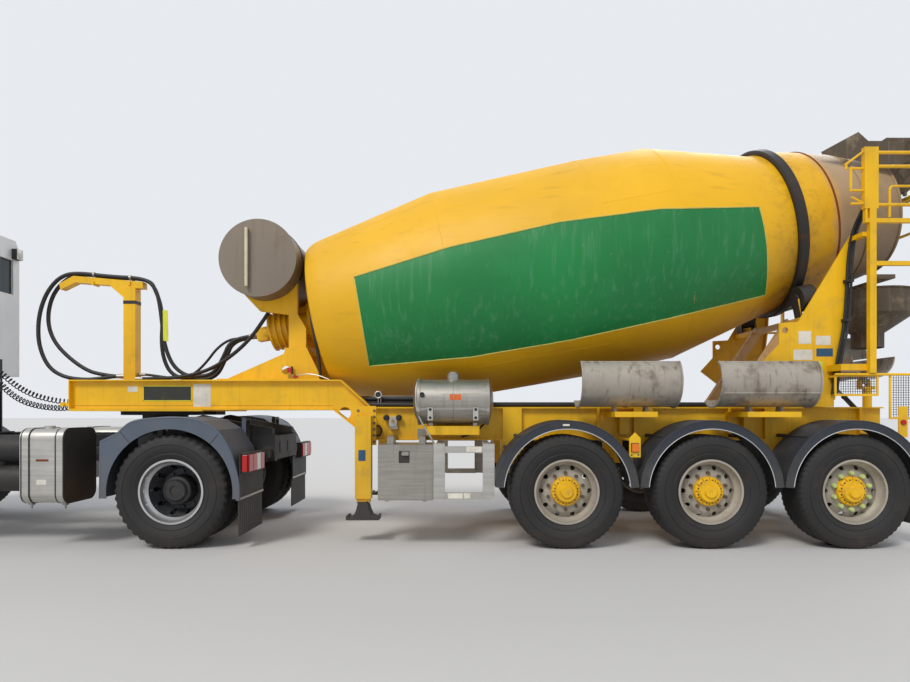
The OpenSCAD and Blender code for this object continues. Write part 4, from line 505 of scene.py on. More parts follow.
def curly(node_name, pts):
    """A curly air line: a coil of thin tube wound round the route, straight at both ends."""
    axis = resample(smooth_path(pts, 8), 0.012)
    total = length_of(axis)
    tube_r, coil_r, pitch, per = 0.006, 0.0275, 0.042, 14
    turns = int((total - 0.14) / pitch)
    start = (total - turns * pitch) / 2
    dist = [0.0]
    for a, b in zip(axis, axis[1:]):
        dist.append(dist[-1] + (b - a).length)

    def at(s):
        """The point at length s of the route, and the direction there."""
        i = next(i for i in range(len(axis) - 1) if dist[i + 1] >= s)
        a, b = axis[i:i + 2]
        return a.lerp(b, (s - dist[i]) / (dist[i + 1] - dist[i])), (b - a).normalized()

    pts_out = [axis[0], at(start * 0.5)[0]]
    for j in range(turns * per + 1):
        p, d = at(start + pitch * j / per)
        side = (ACROSS - d * d.y).normalized()
        grow = min(1, j / per, (turns * per - j) / per)
        a = 2 * pi * j / per
        pts_out.append(p + coil_r * grow * (cos(a) * side + sin(a) * d.cross(side)))
    pts_out += [at(total - start * 0.5)[0], axis[-1]]
    name = node_name + "_coil"
    cu = bpy.data.curves.new(name, "CURVE")
    cu.dimensions = "3D"
    sp = cu.splines.new("POLY")
    sp.points.add(len(pts_out) - 1)
    for q, p in zip(sp.points, pts_out):
        q.co = (*p, 1)
    cu.bevel_depth = tube_r
    cu.bevel_resolution = 2
    cu.use_fill_caps = True
    o = show(name, cu)
    cu.materials.append(M["rubber"])
    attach(o, "trailer")
    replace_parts(o, node_name)
    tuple(pts_out[0])
    round(length_of(pts_out), 3)


curly("air_line_1", A1)
curly("air_line_2", A2)


# ---- dressing of the CAD nodes ----
def dress(name, default, *rules):
    """Gives the node its material, and by rule other materials to the faces whose centre passes a test."""
    me = N[name].data
    me.materials.clear()
    for look in [default] + [r[0] for r in rules]:
        me.materials.append(M[look])
    for p in me.polygons:
        p.material_index = next((i for i, r in enumerate(rules, 1) if r[1](p.center)), 0)


dress("trailer_frame", "yellow", ("cast", lambda c: hyp(c.x - XK, c.y) < 0.04 and c.z < 1.254))
dress("landing_legs", "yellow", ("dark", lambda c: c.z < 0.4 or (hyp(c.x - LEG_X, c.z - 1.06) < 0.03)))
dress("air_tank", "steel", ("alu", lambda c: c.y < -1.102 and 1.244 < c.z < 1.286),
      ("yellow", lambda c: c.z < 1.116 and c.x < XK + 3.45),
      ("rubber", lambda c: c.y > -0.67 and c.z > 1.29 and c.x > XK + 3.39))
dress("water_tank", "tank", ("gauge", lambda c: c.y < -0.672 and abs(c.x - XK - 1.107) < 0.02),
      ("yellow", lambda c: 0.32 < abs(c.y) < 0.39 and c.z < 2.622 and hyp(c.x - WATER_X, c.z - WATER_Z) > 0.3912),
      ("rubber", lambda c: 0.32 < abs(c.y) < 0.39 and 0.3851 < hyp(c.x - WATER_X, c.z - WATER_Z) < 0.3915))


def by_roller(c):
    """Whether a face belongs to a roller's carrier: its bearing or the arm below."""
    q = Vector(c) - Vector((XRING, 0, ZRING))
    down = -q.dot(UPD) - 1.0303 * cos(rad(38))
    out = abs(q.y) - 1.0303 * sin(rad(38))
    return abs(q.dot(AXIS)) < 0.1 and (hyp(down, out) < 0.068 or 0.08 < down < 0.179 and abs(out) < 0.07)


# the sloped braces take the pale beige: a painted sunlit highlight, with real rust-brown streaks
dress("rear_pedestal", "yellow", ("cast", by_roller),
      ("beige", lambda c: abs(c.y) < 0.372 and 1.17 < c.z < ZRING - 0.95 and c.x > XRING - 0.7))
dress("rear_platform", "yellow", ("red", lambda c: abs(c.z - 1.15) < 0.03 and c.y < -1.0292 and c.x > XRING + 0.84))
dress("rear_bumper", "dark", ("red", lambda c: c.x > XRING + 0.94 + 0.0521 and c.z > 0.62))
dress("fuel_tank", "alu", ("end_face", lambda c: c.y < 0 and c.x > XD - 0.9505),
      ("dark", lambda c: c.x < XS + 1.3 or (c.y < -0.4 and c.x < XS + 2.2) or (c.y > 0.4 and c.x < XS + 1.42)))
dress("tractor_mudguards", "slate",
      ("red", lambda c: c.x > XD + 0.6405 and c.z > 0.68 and 0.75 < abs(c.y) < 1.221),
      ("dark", lambda c: (c.x > XD + 0.6175 and c.z < 0.871) or abs(c.y) < 0.583))
for q in N["tractor_mudguards"].data.polygons:
    q.use_smooth = True
dress("bumper", "bumper", ("trim", lambda c: c.x > XF + 0.4 or c.z < 0.5 or XF + 0.03 < c.x < XF + 0.09),
      ("white_lens", lambda c: 0.655 < abs(c.y) < 0.915 and 0.65 < c.z < 0.81 and c.x < XF + 0.061))
dress("cab_trim", "trim", ("white_lens", lambda c: c.x > CREAR + 0.0695))
for look, names in (
        ("guard", "mudguards_left mudguards_right"), ("steel", "toolbox toolbox_door chute_rod"),
        ("yellow", "front_pedestal gearbox hose_gantry chute_swivel"), ("raw", "hopper collector drum_blades"),
        ("chute", "stored_chutes chute chute_tip"), ("alu", "side_guards"), ("white", "cab_shell"),
        ("glass", "cab_glass"), ("trim", "cab_interior"),
        ("cast", "roller_left roller_right fifth_wheel engine knuckle_l knuckle_r"),
        ("dark", "running_gear chute_cylinder tractor_frame tractor_axles")):
    for n in names.split():
        dress(n, look)
for n, s in (("door_l", -1), ("door_r", 1)):
    dress(n, "white", ("glass", lambda c, s=s: CH - 0.0345 < s * c.y < CH - 0.0275 and c.z > 2.04))


# ---- wheels: the rims are the CAD's, the tyres get their tread ----
def rim_piece(name, x, mats, body, tests):
    """The rim, which is the CAD node without its tyre: the tyre's solids reach further out than 0.4 m."""
    bm = bmesh.new()
    bm.from_mesh(N[name].data)
    bmesh.ops.remove_doubles(bm, verts=bm.verts, dist=1e-5)
    tyre = {v for v in bm.verts if hyp(v.co.x - x, v.co.z - ZW) > 0.4}
    todo = list(tyre)
    while todo:
        v = todo.pop()
        fresh = {e.other_vert(v) for e in v.link_edges} - tyre
        tyre |= fresh
        todo += fresh
    bmesh.ops.delete(bm, geom=list(tyre), context="VERTS")
    for f in bm.faces:
        f.smooth = True
        f.material_index = tests(f.calc_center_median())
    o = from_bmesh(bm, bpy.data.meshes.new(name + "_rim"), mats, 35)
    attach(o, body)
    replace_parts(o, name)


def tyre_piece(name, body, x, y, w, side, lugs, depth):
    """Tyre with circumferential grooves and notched shoulders, inside the CAD tyre's outline."""
    h = w / 2
    prof = [(0.287, -h + .045), (0.322, -h + .022), (0.345, -h + .012), (0.352, -h + .015), (0.360, -h + .010),
            (0.407, -h), (0.425, -h + .001), (0.428, -h + .005), (0.432, -h + .001), (0.460, -h + .006),
            (0.480, -h + .012), (0.502, -h + .022), (0.520, -h + .048)]
    half = len(prof)
    grooves = []
    for g in (-0.62, -0.22, 0.22, 0.62):
        gy = g * (h - .048)
        grooves += [(0.520, gy - .009), (0.507, gy - .006), (0.507, gy + .006), (0.520, gy + .009)]
    prof = prof + grooves + [(r, -t) for r, t in reversed(prof)]
    k = len(prof)
    n = lugs * 4
    v = []
    for j in range(n):
        a = 2 * pi * j / n
        notch = j % 4 in (2, 3)
        for i, (r, t) in enumerate(prof):
            if notch and (half - 3 <= i < half or k - half <= i < k - half + 3):
                r -= depth if i in (half - 1, k - half) else depth * 0.8
            v.append((x + r * sin(a), y + side * t, ZW + r * cos(a)))
    f = [(j * k + i, j * k + (i + 1) % k, (j + 1) % n * k + (i + 1) % k, (j + 1) % n * k + i)
         for j in range(n) for i in range(k)]
    Piece(name, body, "tyre").add(v, f, True).done("tyre_rubber", smooth_angle=32)


def single(name, body, x, y, side, w, third=False):
    def tests(c):
        r = hyp(c.x - x, c.z - ZW)
        out = side * (c.y - side * y)
        if r < 0.137 and out > w / 2 - 0.165:
            return 1
        if 0.149 < r < 0.187 and out > w / 2 - 0.1085:
            return 2
        return 0
    rim_piece(name, x, ["rim", "yellow_hub", "nut"], body, tests)
    tyre_piece(name + "_tyre", body, x, side * y, w, side, 60, 0.006)
    if third:
        caps = Piece(name + "_covers", body, "green_cap")
        fy = side * (y + w / 2 - 0.086)
        for i in range(10):
            a = rad(i * 36 + 18)
            p = Vector((x + 0.1675 * cos(a), fy, ZW + 0.1675 * sin(a)))
            caps.lathe(p, (0, side, 0), [(0.022, -0.02), (0.022, 0.012), (0.016, 0.022), (0, 0.024)], 12)
        caps.done("tyre_rubber")


SIDES = ((-1, "l", "left"), (1, "r", "right"))
for i in range(3):
    for s, l, nm in SIDES:
        single(f"wheel_{i + 1}{l}", f"wheel_{i + 1}_{nm}", AX[i], 1.0575, s, 0.385, i == 2)
for s, l, nm in SIDES:
    single("wheel_f" + l, "wheel_front_" + nm, XS, 1.0805, s, 0.315)
for s, l, nm in SIDES:
    name, body = "twin_wheels_" + l, "twin_" + nm

    def tests(c):
        r = hyp(c.x - XD, c.z - ZW)
        if r < 0.14:
            return 1
        return 0 if r > 0.243 or (r < 0.19 and abs(c.y) < 0.93) else 2
    rim_piece(name, XD, ["chrome_rim", "hub_dark", "dish"], body, tests)
    for j, y in enumerate((0.7615, 1.1025)):
        tyre_piece(f"{name}_tyre{j}", body, XD, s * y, 0.295, s, 44, 0.012)


# ---- drum: smooth wall, ring, green panel, seams ----
drum_o = Piece("drum_wall", "drum", "drum")
drum_o.lathe(DRUM, AXIS, [(r / 1000, t / 1000) for r, t in (
    (0, -70 + 8), (0, -150), (250, -150), (260, -90), (520, -40), (740, -12), (800, 10), (842, 80), (862, 160),
    (1110, 1390), (1145, 2900), (1130, 3650), (852, 4740), (852, 4960), (800, 5250), (715, 5590), (726, 5595),
    (726, 5625), (708, 5630), (636, 5976), (644, 5980), (644, 6000), (622, 6000), (707, 5600), (792, 5250),
    (844, 4960), (844, 4740), (1122, 3650), (1137, 2900), (1102, 1390), (854, 168), (780, 38), (520, -22),
    (0, -62))], 192)
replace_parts(drum_o.done("drum_paint", smooth_angle=24), "drum")
ring_o = Piece("running_ring", "drum", "ring")
ring_o.lathe(DRUM, AXIS, [(r / 1000, t / 1000) for r, t in (
    (852.3, 4800), (886, 4800), (900, 4812), (900, 4888), (886, 4900), (852.3, 4900), (852.3, 4800))], 192)
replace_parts(ring_o.done("cast", smooth_angle=24), "drum_ring")

PROFILE = [(0.0, 0.800), (0.01, 0.800), (0.08, 0.842), (0.16, 0.862), (1.39, 1.110), (2.90, 1.145), (3.65, 1.130),
           (4.74, 0.852), (4.96, 0.852), (5.25, 0.800), (5.60, 0.715), (5.976, 0.636)]


def drum_r(t):
    for (t0, r0), (t1, r1) in zip(PROFILE, PROFILE[1:]):
        if t <= t1:
            return r0 + (r1 - r0) * max(0, (t - t0)) / (t1 - t0)
    return PROFILE[-1][1]


def drum_point(t, a, lift):
    """Point on the drum at t along its axis; angle a from the near side (-Y), up positive."""
    r = drum_r(t) + lift
    return DRUM + AXIS * t + r * (-cos(a) * ACROSS + sin(a) * UPD)


def hit_drum(px, py):
    """Where the photo's view ray through a picture point meets the drum: (t, angle)."""
    d = Vector(((px - 455) / 620, 1, -(py - 412) / 620))
    s = 4.5
    while s < 8:
        q = EYE + d * s - DRUM
        t = q.dot(AXIS)
        r = hyp(q.dot(ACROSS), q.dot(UPD))
        if 0 < t < 6 and r < drum_r(t):
            return t, math.atan2(q.dot(UPD), -q.dot(ACROSS))
        s += 0.004
    return None


def panel():
    """The bare green panel: its outline follows four edges, laid on the drum's wall."""
    top = ((354, 277), (450, 247), (560, 222), (660, 209), (759, 207))
    bottom = ((369, 366), (470, 357), (570, 340), (670, 318), (765, 295))

    def on(line, u):
        i = min(int(u * 4), 3)
        (x0, y0), (x1, y1) = line[i:i + 2]
        return x0 + (x1 - x0) * (u * 4 - i), y0 + (y1 - y0) * (u * 4 - i)

    nu, nv = 160, 28
    k = nv + 1
    base = []
    for i in range(nu + 1):
        u = i / nu
        (x0, y0), (x1, y1) = on(top, u), on(bottom, u)
        for j in range(k):
            w = j / nv
            bulge = 20 * w * (1 - w) * u ** 6
            base.append(hit_drum(x0 + (x1 - x0) * w + bulge, y0 + (y1 - y0) * w))
    pc = Piece("green_panel", "drum", "green", "panel_edge")
    pc.add([drum_point(t, a, 0.0032) for t, a in base],
           [(n, n + 1, n + k + 1, n + k) for i in range(nu) for n in range(i * k, i * k + nv)], True)
    # pale edge strip round it
    rim_ids = [*range(0, nu * k, k), *range(nu * k, nu * k + nv), *range(nu * k + nv, nv, -k), *range(nv, 0, -1)]
    pc.mat(1).tube([drum_point(*base[n], 0.0034) for n in rim_ids], 0.007, 6, closed=True)
    pc.done("drum_paint")


panel()


def hoop(t, lift):
    return [drum_point(t, 2 * pi * k / 128, lift) for k in range(128)]


seams = Piece("drum_seams", "drum", "drum")
for t in (1.39, 2.90, 3.65, 4.42):
    seams.tube(hoop(t, -0.0008), 0.003, 6, closed=True)
# long plate joints between the ring seams
for t0, t1, a in ((0.2, 1.36, 0.9), (1.42, 2.87, 2.4), (2.93, 3.62, 0.35), (3.68, 4.40, 1.7), (0.2, 1.36, 4.0),
                  (1.42, 2.87, 5.4), (2.93, 3.62, 3.6)):
    n = 24
    seams.tube([drum_point(t0 + (t1 - t0) * k / n, a, -0.0012) for k in range(n + 1)], 0.003, 6)
seams.done("drum_paint")
# dark weld round the neck
Piece("neck_weld", "drum", "rust").tube(hoop(5.25, -0.004), 0.013, 8, closed=True).done("drum_paint")

# ---- details on the trailer ----
def arc(cx, cz, r, a0, a1, y, n=64):
    return [(cx + r * cos(rad(a0 + (a1 - a0) * k / n)), y, cz + r * sin(rad(a0 + (a1 - a0) * k / n)))
            for k in range(n + 1)]


lines = Piece("mudguard_lines", "trailer", "trim_line")
beads = Piece("mudguard_beads", "trailer", "guard")
for s in (-1, 1):
    for x in AX:
        lines.tube(arc(x, ZW, 0.5725, 5, 175, s * 1.2502), 0.0035, 6)
        beads.tube(arc(x, ZW, 0.6455, 4.5, 175.5, s * 1.2495), 0.0055, 8)
        for r in (0.600, 0.622):
            beads.tube(arc(x, ZW, r, 5, 175, s * 1.2500), 0.0022, 6)
lines.done("guard_plastic")
beads.done("guard_plastic")

# hexagon bolts on the frame, landing legs and hangers
bolts = Piece("frame_bolts", "trailer", "bolt")
for s in (-1, 1):
    for z in (0.96, 1.02, 1.08, 1.14, 1.20, 1.26):
        for dx in (-0.062, 0.094):
            bolts.bolt((LEG_X + dx, s * 0.841, z), (0, s, 0), 0.009, 0.008)
    for x in AX:
        for dx, z in ((-0.52, 0.90), (-0.37, 0.90), (-0.52, 0.70), (-0.37, 0.70)):
            bolts.bolt((x + dx, s * 0.660, z), (0, s, 0), 0.011, 0.009)
        bolts.lathe((x - 0.445, s * 0.660, 0.697), (0, s, 0),
                    [(0.034, 0), (0.034, 0.006), (0.026, 0.012), (0.026, 0.026), (0, 0.028)], 6, False)
bolts.done("raw_steel")

# side tank: straps, weld beads, blank label, gauge ring and drain
TX, TY, TZ = XK + 2.833, -0.905, 1.345
tank = Piece("tank_trim", "trailer", "alu", "label_orange", "steel", "dark", "copper")
for dx in (0.100, 0.520):
    tank.mat(0).box((TX + dx - 0.004, TY - 0.2275, TZ - 0.175), (TX + dx + 0.044, TY - 0.2235, TZ - 0.055))
    for dz in (-0.075, -0.150):
        tank.mat(3).bolt((TX + dx + 0.02, TY - 0.2275, TZ + dz), (0, -1, 0), 0.009, 0.008)
for dx in (0.006, 0.333, 0.660):
    tank.mat(2).ring((TX + dx, TY, TZ), ACROSS, (0, 0, 1), 0.2125, 0.0035, 72)
turns = [pi - 0.32 + 0.026 * i for i in range(11)]
tank.mat(1).add([(TX + x, TY + 0.2131 * cos(a), TZ + 0.2131 * sin(a)) for a in turns for x in (0.300, 0.406)],
                [(2 * i, 2 * i + 1, 2 * i + 3, 2 * i + 2) for i in range(10)], True)
tank.mat(3).lathe((TX + 0.045, TY - 0.205, TZ + 0.060), (0, -1, 0.25),
                  [(0, 0), (0.022, 0), (0.022, 0.020), (0.017, 0.024), (0.017, 0.014), (0, 0.014)], 20)
for m, dx, dz in ((2, 0.11, -0.235), (3, 0.155, -0.235), (2, 0.20, -0.25)):
    tank.mat(4).rod((TX + dx, TY - 0.03, TZ + dz), (TX + dx, TY - 0.03, TZ + dz - 0.055), 0.011, 12)
    y, z = TY - 0.045, TZ + dz - 0.045
    tank.mat(m).rod((TX + dx - 0.02, y, z), (TX + dx + 0.03, y, z), 0.007, 10)
tank.done("stainless")

# hose gantry: strap round the post, clamps on the hoses
gx = XK - 0.384
gan = Piece("gantry_trim", "trailer", "rubber", "steel")
gan.box((gx - 0.0675, -0.0625, 2.432), (gx + 0.0675, 0.0625, 2.468))
for x, z in ((XK - 0.798, 2.758), (XK - 0.398, 2.724)):
    for y in (-0.030, 0.030):
        gan.mat(1).lathe((x, y, z), (1, 0, 0), [(0.0215, 0), (0.0255, 0.001), (0.0255, 0.023), (0.0215, 0.024)], 24)
gan.done("hose_rubber")

# mesh in the two frames over the last wheels
mesh = Piece("mesh_panels", "trailer", "dark")
for x0, z0, x1, z1 in ((XRING + 0.225, 1.397, XRING + 0.640, 1.600), (XRING + 0.740, 1.180, XRING + 1.080, 1.610)):
    nx, nz = int((x1 - x0 - 0.04) / 0.022), int((z1 - z0 - 0.04) / 0.022)
    for i in range(1, nx):
        x = x0 + 0.02 + (x1 - x0 - 0.04) * i / nx
        mesh.box((x - 0.002, -1.027, z0 + 0.019), (x + 0.002, -1.024, z1 - 0.019))
    for i in range(1, nz):
        z = z0 + 0.02 + (z1 - z0 - 0.04) * i / nz
        mesh.box((x0 + 0.019, -1.0262, z - 0.002), (x1 - 0.019, -1.0232, z + 0.002))
mesh.done("dark_paint")

# side marker lamps in peaked yellow brackets between the mudguards
mark = Piece("marker_lamps", "trailer", "yellow_clean", "amber", "dark", "bolt")
for s in (-1, 1):
    x, y = 2.917, s * 1.215
    mark.mat(0).plate([(x - 0.052, y, 0.835), (x + 0.052, y, 0.835), (x + 0.052, y, 1.010), (x, y, 1.062),
                       (x - 0.052, y, 1.010)], (0, s * 0.004, 0))
    mark.box((x - 0.052, y, 0.835), (x + 0.052, y - s * 0.030, 0.839))
    mark.rod((x, y, 0.985), (x, s * 0.661, 0.985), 0.012, 12)
    mark.mat(2).box((x - 0.036, y + s * 0.003, 0.880), (x + 0.036, y + s * 0.010, 0.965))
    mark.mat(1).box((x - 0.031, y + s * 0.009, 0.886), (x + 0.031, y + s * 0.024, 0.959))
    for dx in (-0.03, 0.03):
        mark.mat(3).bolt((x + dx, y + s * 0.004, 0.858), (0, s, 0), 0.006, 0.005)
mark.done("yellow_paint", bevel=0.002)

# bare labels, and the faces that they lie on: gooseneck's beam, landing leg, rear pedestal, toolbox and mudguard
BEAM, LEG, POST, BOX, GUARD = -0.6101, -0.9601, -0.7861, -1.2221, -1.2501
marks = Piece("blank_labels", "trailer", "label", "dark_label", "blue_label", "tag")
for m, x0, x1, z0, z1, y in (
        (1, -1.857, -1.366, 1.358, 1.510, BEAM), (0, -1.349, -1.176, 1.300, 1.528, BEAM),
        (0, -2.010, -1.911, 1.449, 1.506, BEAM), (2, 0.364, 0.432, 0.782, 0.886, LEG),
        (0, 4.641, 4.764, 1.914, 2.037, POST), (0, 4.809, 4.955, 1.902, 1.992, POST),
        (0, 4.592, 4.776, 1.757, 1.857, POST), (2, 4.816, 4.977, 1.790, 1.869, POST),
        (3, 4.838, 4.880, 1.566, 1.746, POST), (0, 1.385, 1.523, 0.885, 0.932, BOX),
        (0, 1.219, 1.352, 0.462, 0.508, BOX), (0, 1.364, 1.420, 0.462, 0.510, BOX),
        (0, 2.256, 2.317, 1.121, 1.138, GUARD)):
    marks.mat(m).box((x0, y - 0.0015, z0), (x1, y, z1))
    if m == 1:
        for za, zb in ((z0, z0 + 0.007), (z1 - 0.007, z1)):
            marks.mat(3).box((x0, y - 0.0025, za), (x1, y - 0.001, zb))
        for xa in (x0, x1 - 0.007):
            marks.box((xa, y - 0.0025, z0), (xa + 0.007, y - 0.001, z1))
# lime tag tied to the hydraulic hoses
hx = min(F1, key=lambda q: abs(q.z - 2.193) + (9 if q.x < XK - 0.5 else 0))
marks.mat(3).plate([(hx.x + 0.021, -0.062, 2.030), (hx.x + 0.078, -0.062, 2.015), (hx.x + 0.070, -0.062, 2.360),
                    (hx.x + 0.016, -0.062, 2.365)], (0, 0.003, 0))
marks.done("trim")

# small valves and lines of the near side
near = Piece("near_side_fittings", "trailer", "rubber", "steel", "copper", "red_valve", "dark", "alu")
# dial on two pins over the beam, with the lines that run past it
near.mat(5).ring((0.512, -0.630, 1.420), (1, 0, 0), (0, 0, 1), 0.032, 0.007, 32, 8)
near.mat(4).lathe((0.512, -0.626, 1.420), (0, -1, 0), [(0.030, -0.02), (0.030, 0), (0, 0)], 24, False)
for dx in (0, 0.025):
    near.mat(1).rod((0.512 + dx, -0.620, 1.297), (0.512 + dx, -0.620, 1.395), 0.005, 8)
for y, z, r in ((-0.570, 1.327, 0.030), (-0.610, 1.322, 0.024), (-0.540, 1.382, 0.026)):
    near.mat(0).tube([(0.30, y + 0.1, z), (0.38, y + 0.03, z), (0.46, y, z), (0.95, y, z)], r, 14)
# control valve on the beam's web: block, two black knobs, tag plate
near.mat(5).box((0.622, -0.660, 1.105), (0.700, -0.610, 1.200))
near.mat(1).box((0.636, -0.668, 1.075), (0.712, -0.610, 1.103))
near.mat(2).rod((0.661, -0.690, 1.160), (0.661, -0.660, 1.160), 0.014, 12)
for x in (0.597, 0.722):
    near.mat(4).lathe((x, -0.612, 1.190), (0, -1, 0),
                      [(0.012, 0), (0.012, 0.03), (0.030, 0.034), (0.030, 0.062), (0.022, 0.070), (0, 0.070)], 16)
# coiled end of a line beside it, and a bracket plate under the tank
for k in range(3):
    near.mat(0).ring((0.510, -0.622 - 0.012 * k, 1.060), (0.034, 0, 0), (0, 0, 0.052), 1, 0.007, 20)
near.mat(1).box((0.905, -0.628, 0.985), (1.020, -0.610, 1.080))
# lines along both ends of the tank
near.mat(5).pipe([(0.935, -0.975, 1.553), (0.918, -1.030, 1.50), (0.915, -1.060, 1.40), (0.925, -1.080, 1.25),
                  (0.985, -1.060, 1.12), (1.050, -1.040, 1.02), (1.083, -1.020, 0.955)], 6, 0.008)
near.mat(0).pipe([(1.605, -0.800, 1.26), (1.600, -0.780, 1.18), (1.545, -0.740, 1.10), (1.450, -0.690, 1.03),
                  (1.350, -0.640, 1.00)], 6, 0.010)
# small valve with red handles on the gooseneck, and its thin line
near.mat(2).box((-0.430, -0.480, 1.584), (-0.370, -0.440, 1.640))
near.mat(3).box((-0.440, -0.490, 1.650), (-0.395, -0.482, 1.700)).box((-0.375, -0.490, 1.600), (-0.330, -0.482, 1.620))
near.mat(4).rod((-0.400, -0.460, 1.640), (-0.400, -0.460, 1.715), 0.012, 12)
near.mat(5).pipe([(-0.370, -0.465, 1.610), (-0.25, -0.500, 1.640), (-0.12, -0.520, 1.625), (0.0, -0.540, 1.578)],
                 5, 0.006, 8)
# black pipe that climbs between the pedestal and the drum
near.mat(0).pipe([(x, -0.450, z) for x, z in (
    (-0.105, 1.590), (-0.120, 1.80), (-0.175, 2.05), (-0.215, 2.30), (-0.215, 2.60))], 6, 0.016)
# lines clipped along the rear pedestal's rear edge and up to the platform
for dy, dx in ((0, 0), (0.028, 0.012), (0.012, -0.022)):
    near.mat(0).pipe([(x + dx, y - dy, z) for x, y, z in (
        (4.975, -0.800, 1.42), (5.030, -0.800, 1.80), (5.095, -0.800, 2.10), (5.118, -0.800, 2.50),
        (5.130, -0.805, 2.80), (5.140, -0.850, 3.00), (5.195, -0.940 + dy, 3.20), (5.240, -0.985 + dy, 3.36))],
                     6, 0.012)
for x, z in ((5.010, 1.66), (5.100, 2.14), (5.118, 2.52)):
    near.mat(4).box((x - 0.045, -0.845, z - 0.012), (x + 0.030, -0.786, z + 0.012))
near.done("hose_rubber")

# hand loops and diagonals of the platform, left side
loops = Piece("platform_loops", "trailer", "yellow")
loops.tube([(5.357, RAIL_Y, 3.075)] + arc(5.397, 3.325, 0.040, 180, 90, RAIL_Y, 8) + [(5.566, RAIL_Y, 3.365)], 0.012)
for x0, z0, x1, z1, r in ((4.935, 3.560, 5.112, 3.690, 0.011), (4.950, 3.520, 4.950, 3.572, 0.011),
                          (5.000, 3.262, 5.112, 3.205, 0.010)):
    loops.rod((x0, RAIL_Y, z0), (x1, RAIL_Y, z1), r, 12)
loops.done("yellow_paint")

# latch of the toolbox door
latch = Piece("toolbox_latch", "toolbox_door", "dark", "steel")
latch.box((0.772, -1.2335, 0.785), (0.870, -1.2300, 0.893))
latch.mat(1).box((0.796, -1.2460, 0.860), (0.846, -1.2335, 0.872))
latch.mat(0).lathe((0.820, -1.2335, 0.838), (0, -1, 0), [(0.014, 0), (0.014, 0.006), (0, 0.008)], 20)
latch.done("stainless")

# radial slots of the trailer's hubs
for i in range(3):
    for sd, _, nm in SIDES:
        slots = Piece(f"hub_slots_{i + 1}_{nm}", f"wheel_{i + 1}_{nm}", "dark")
        for k in range(12):
            a = 2 * pi * (k + 0.5) / 12
            u, v = Vector((cos(a), 0, sin(a))), Vector((-sin(a), 0, cos(a)))
            c = Vector((AX[i], sd * 1.1835, ZW))
            slots.plate([c + u * r + v * t for r, t in (
                (0.078, -0.006), (0.112, -0.008), (0.112, 0.008), (0.078, 0.006))], (0, sd * 0.006, 0))
        slots.done("dark_paint")

# painted shadow line along the plate edges of the gooseneck's beams: a thin dark yellow strip
line = Piece("beam_shadow_lines", "trailer", "painted_shadow_line")
for sd in (-1, 1):
    line.box((XK - 0.655, sd * 0.6101, 1.309), (XK + 1.95, sd * 0.6112, 1.3125))
line.done("yellow_paint")

# ---- details on the tractor ----
tail = Piece("tail_lamps", "tractor", "dark", "red", "white_lens")
for s in (-1, 1):
    x = XD + 0.7003
    tail.mat(0).box((x - 0.058, s * 0.757, 0.687), (x + 0.001, s * 1.223, 0.873))
    for i, k in enumerate((1, 2, 1, 1)):
        y0 = 0.770 + 0.112 * i
        tail.mat(k).box((x + 0.0005, s * y0, 0.702), (x + 0.014, s * (y0 + 0.104), 0.858))
    tail.mat(1).box((x - 0.050, s * 1.2225, 0.705), (x - 0.004, s * 1.2290, 0.855))
tail.done("trim", bevel=0.004)

flaps = Piece("flap_ribs", "tractor", "slate", "alu")
for s in (-1, 1):
    for i in range(1, 12):
        y = s * (0.573 + (1.240 - 0.573) * i / 12)
        flaps.mat(0).box((XD + 0.6282, y - 0.003, 0.130), (XD + 0.6302, y + 0.003, 0.430))
    flaps.mat(1).box((XD + 0.6400, s * 0.575, 0.452), (XD + 0.6425, s * 1.238, 0.470))
flaps.done("guard_plastic")

# fuel tank: rubber edges of the straps, blank stickers
def tank_loop(w, h, r, yc, zc):
    """A rounded rectangle, 9 points at each corner."""
    return [(yc + sy * (w / 2 - r) + r * cos(rad(a0 + 11.25 * k)),
             zc + sz * (h / 2 - r) + r * sin(rad(a0 + 11.25 * k)))
            for sy, sz, a0 in ((1, 1, 0), (-1, 1, 90), (-1, -1, 180), (1, -1, 270)) for k in range(9)]


strap = Piece("tank_straps", "tractor", "rubber", "label", "rust", "steel")
fx = XD - 1.352
for yc, zc, h, places in ((-1, 0.755, 0.677, (0.022, 0.332)), (1, 0.75, 0.62, (-0.6, 0.24))):
    inner, outer = tank_loop(0.5, h, 0.09, yc, zc), tank_loop(0.514, h + 0.014, 0.097, yc, zc)
    for dx in places:
        xa = fx + dx
        for x0 in (xa - 0.010, xa + 0.060):
            v = [(x, y, z) for x in (x0, x0 + 0.010) for ring in (inner, outer) for y, z in ring]
            k, f = len(inner), []
            for i in range(k):
                j = (i + 1) % k
                f += [(i, j, k + j, k + i), (2 * k + i, 3 * k + i, 3 * k + j, 2 * k + j),
                      (k + i, k + j, 3 * k + j, 3 * k + i)]
            strap.mat(0).add(v, f)
        # tightening bolt under the tank
        sy = yc * 1.16
        foot = 0.751 - h / 2
        strap.mat(3).box((xa + 0.012, sy - 0.02, foot - 0.018), (xa + 0.048, sy + 0.02, foot))
        strap.rod((xa + 0.03, sy, foot - 0.051), (xa + 0.03, sy, foot), 0.008, 8)
strap.mat(2).box((-2.504, -1.2515, 0.800), (-2.390, -1.2501, 0.820))
strap.mat(1).box((-2.498, -1.2512, 0.590), (-2.410, -1.2501, 0.635))
strap.done("trim")

# rounded edges and section joints of the rear mudguards
LINE = [(-0.637, -0.055), (-0.628, 0.465), (-0.489, 0.532), (-0.354, 0.639), (-0.155, 0.675), (0.098, 0.683),
        (0.287, 0.649), (0.432, 0.564), (0.549, 0.384), (0.626, 0.113), (0.636, -0.075)]


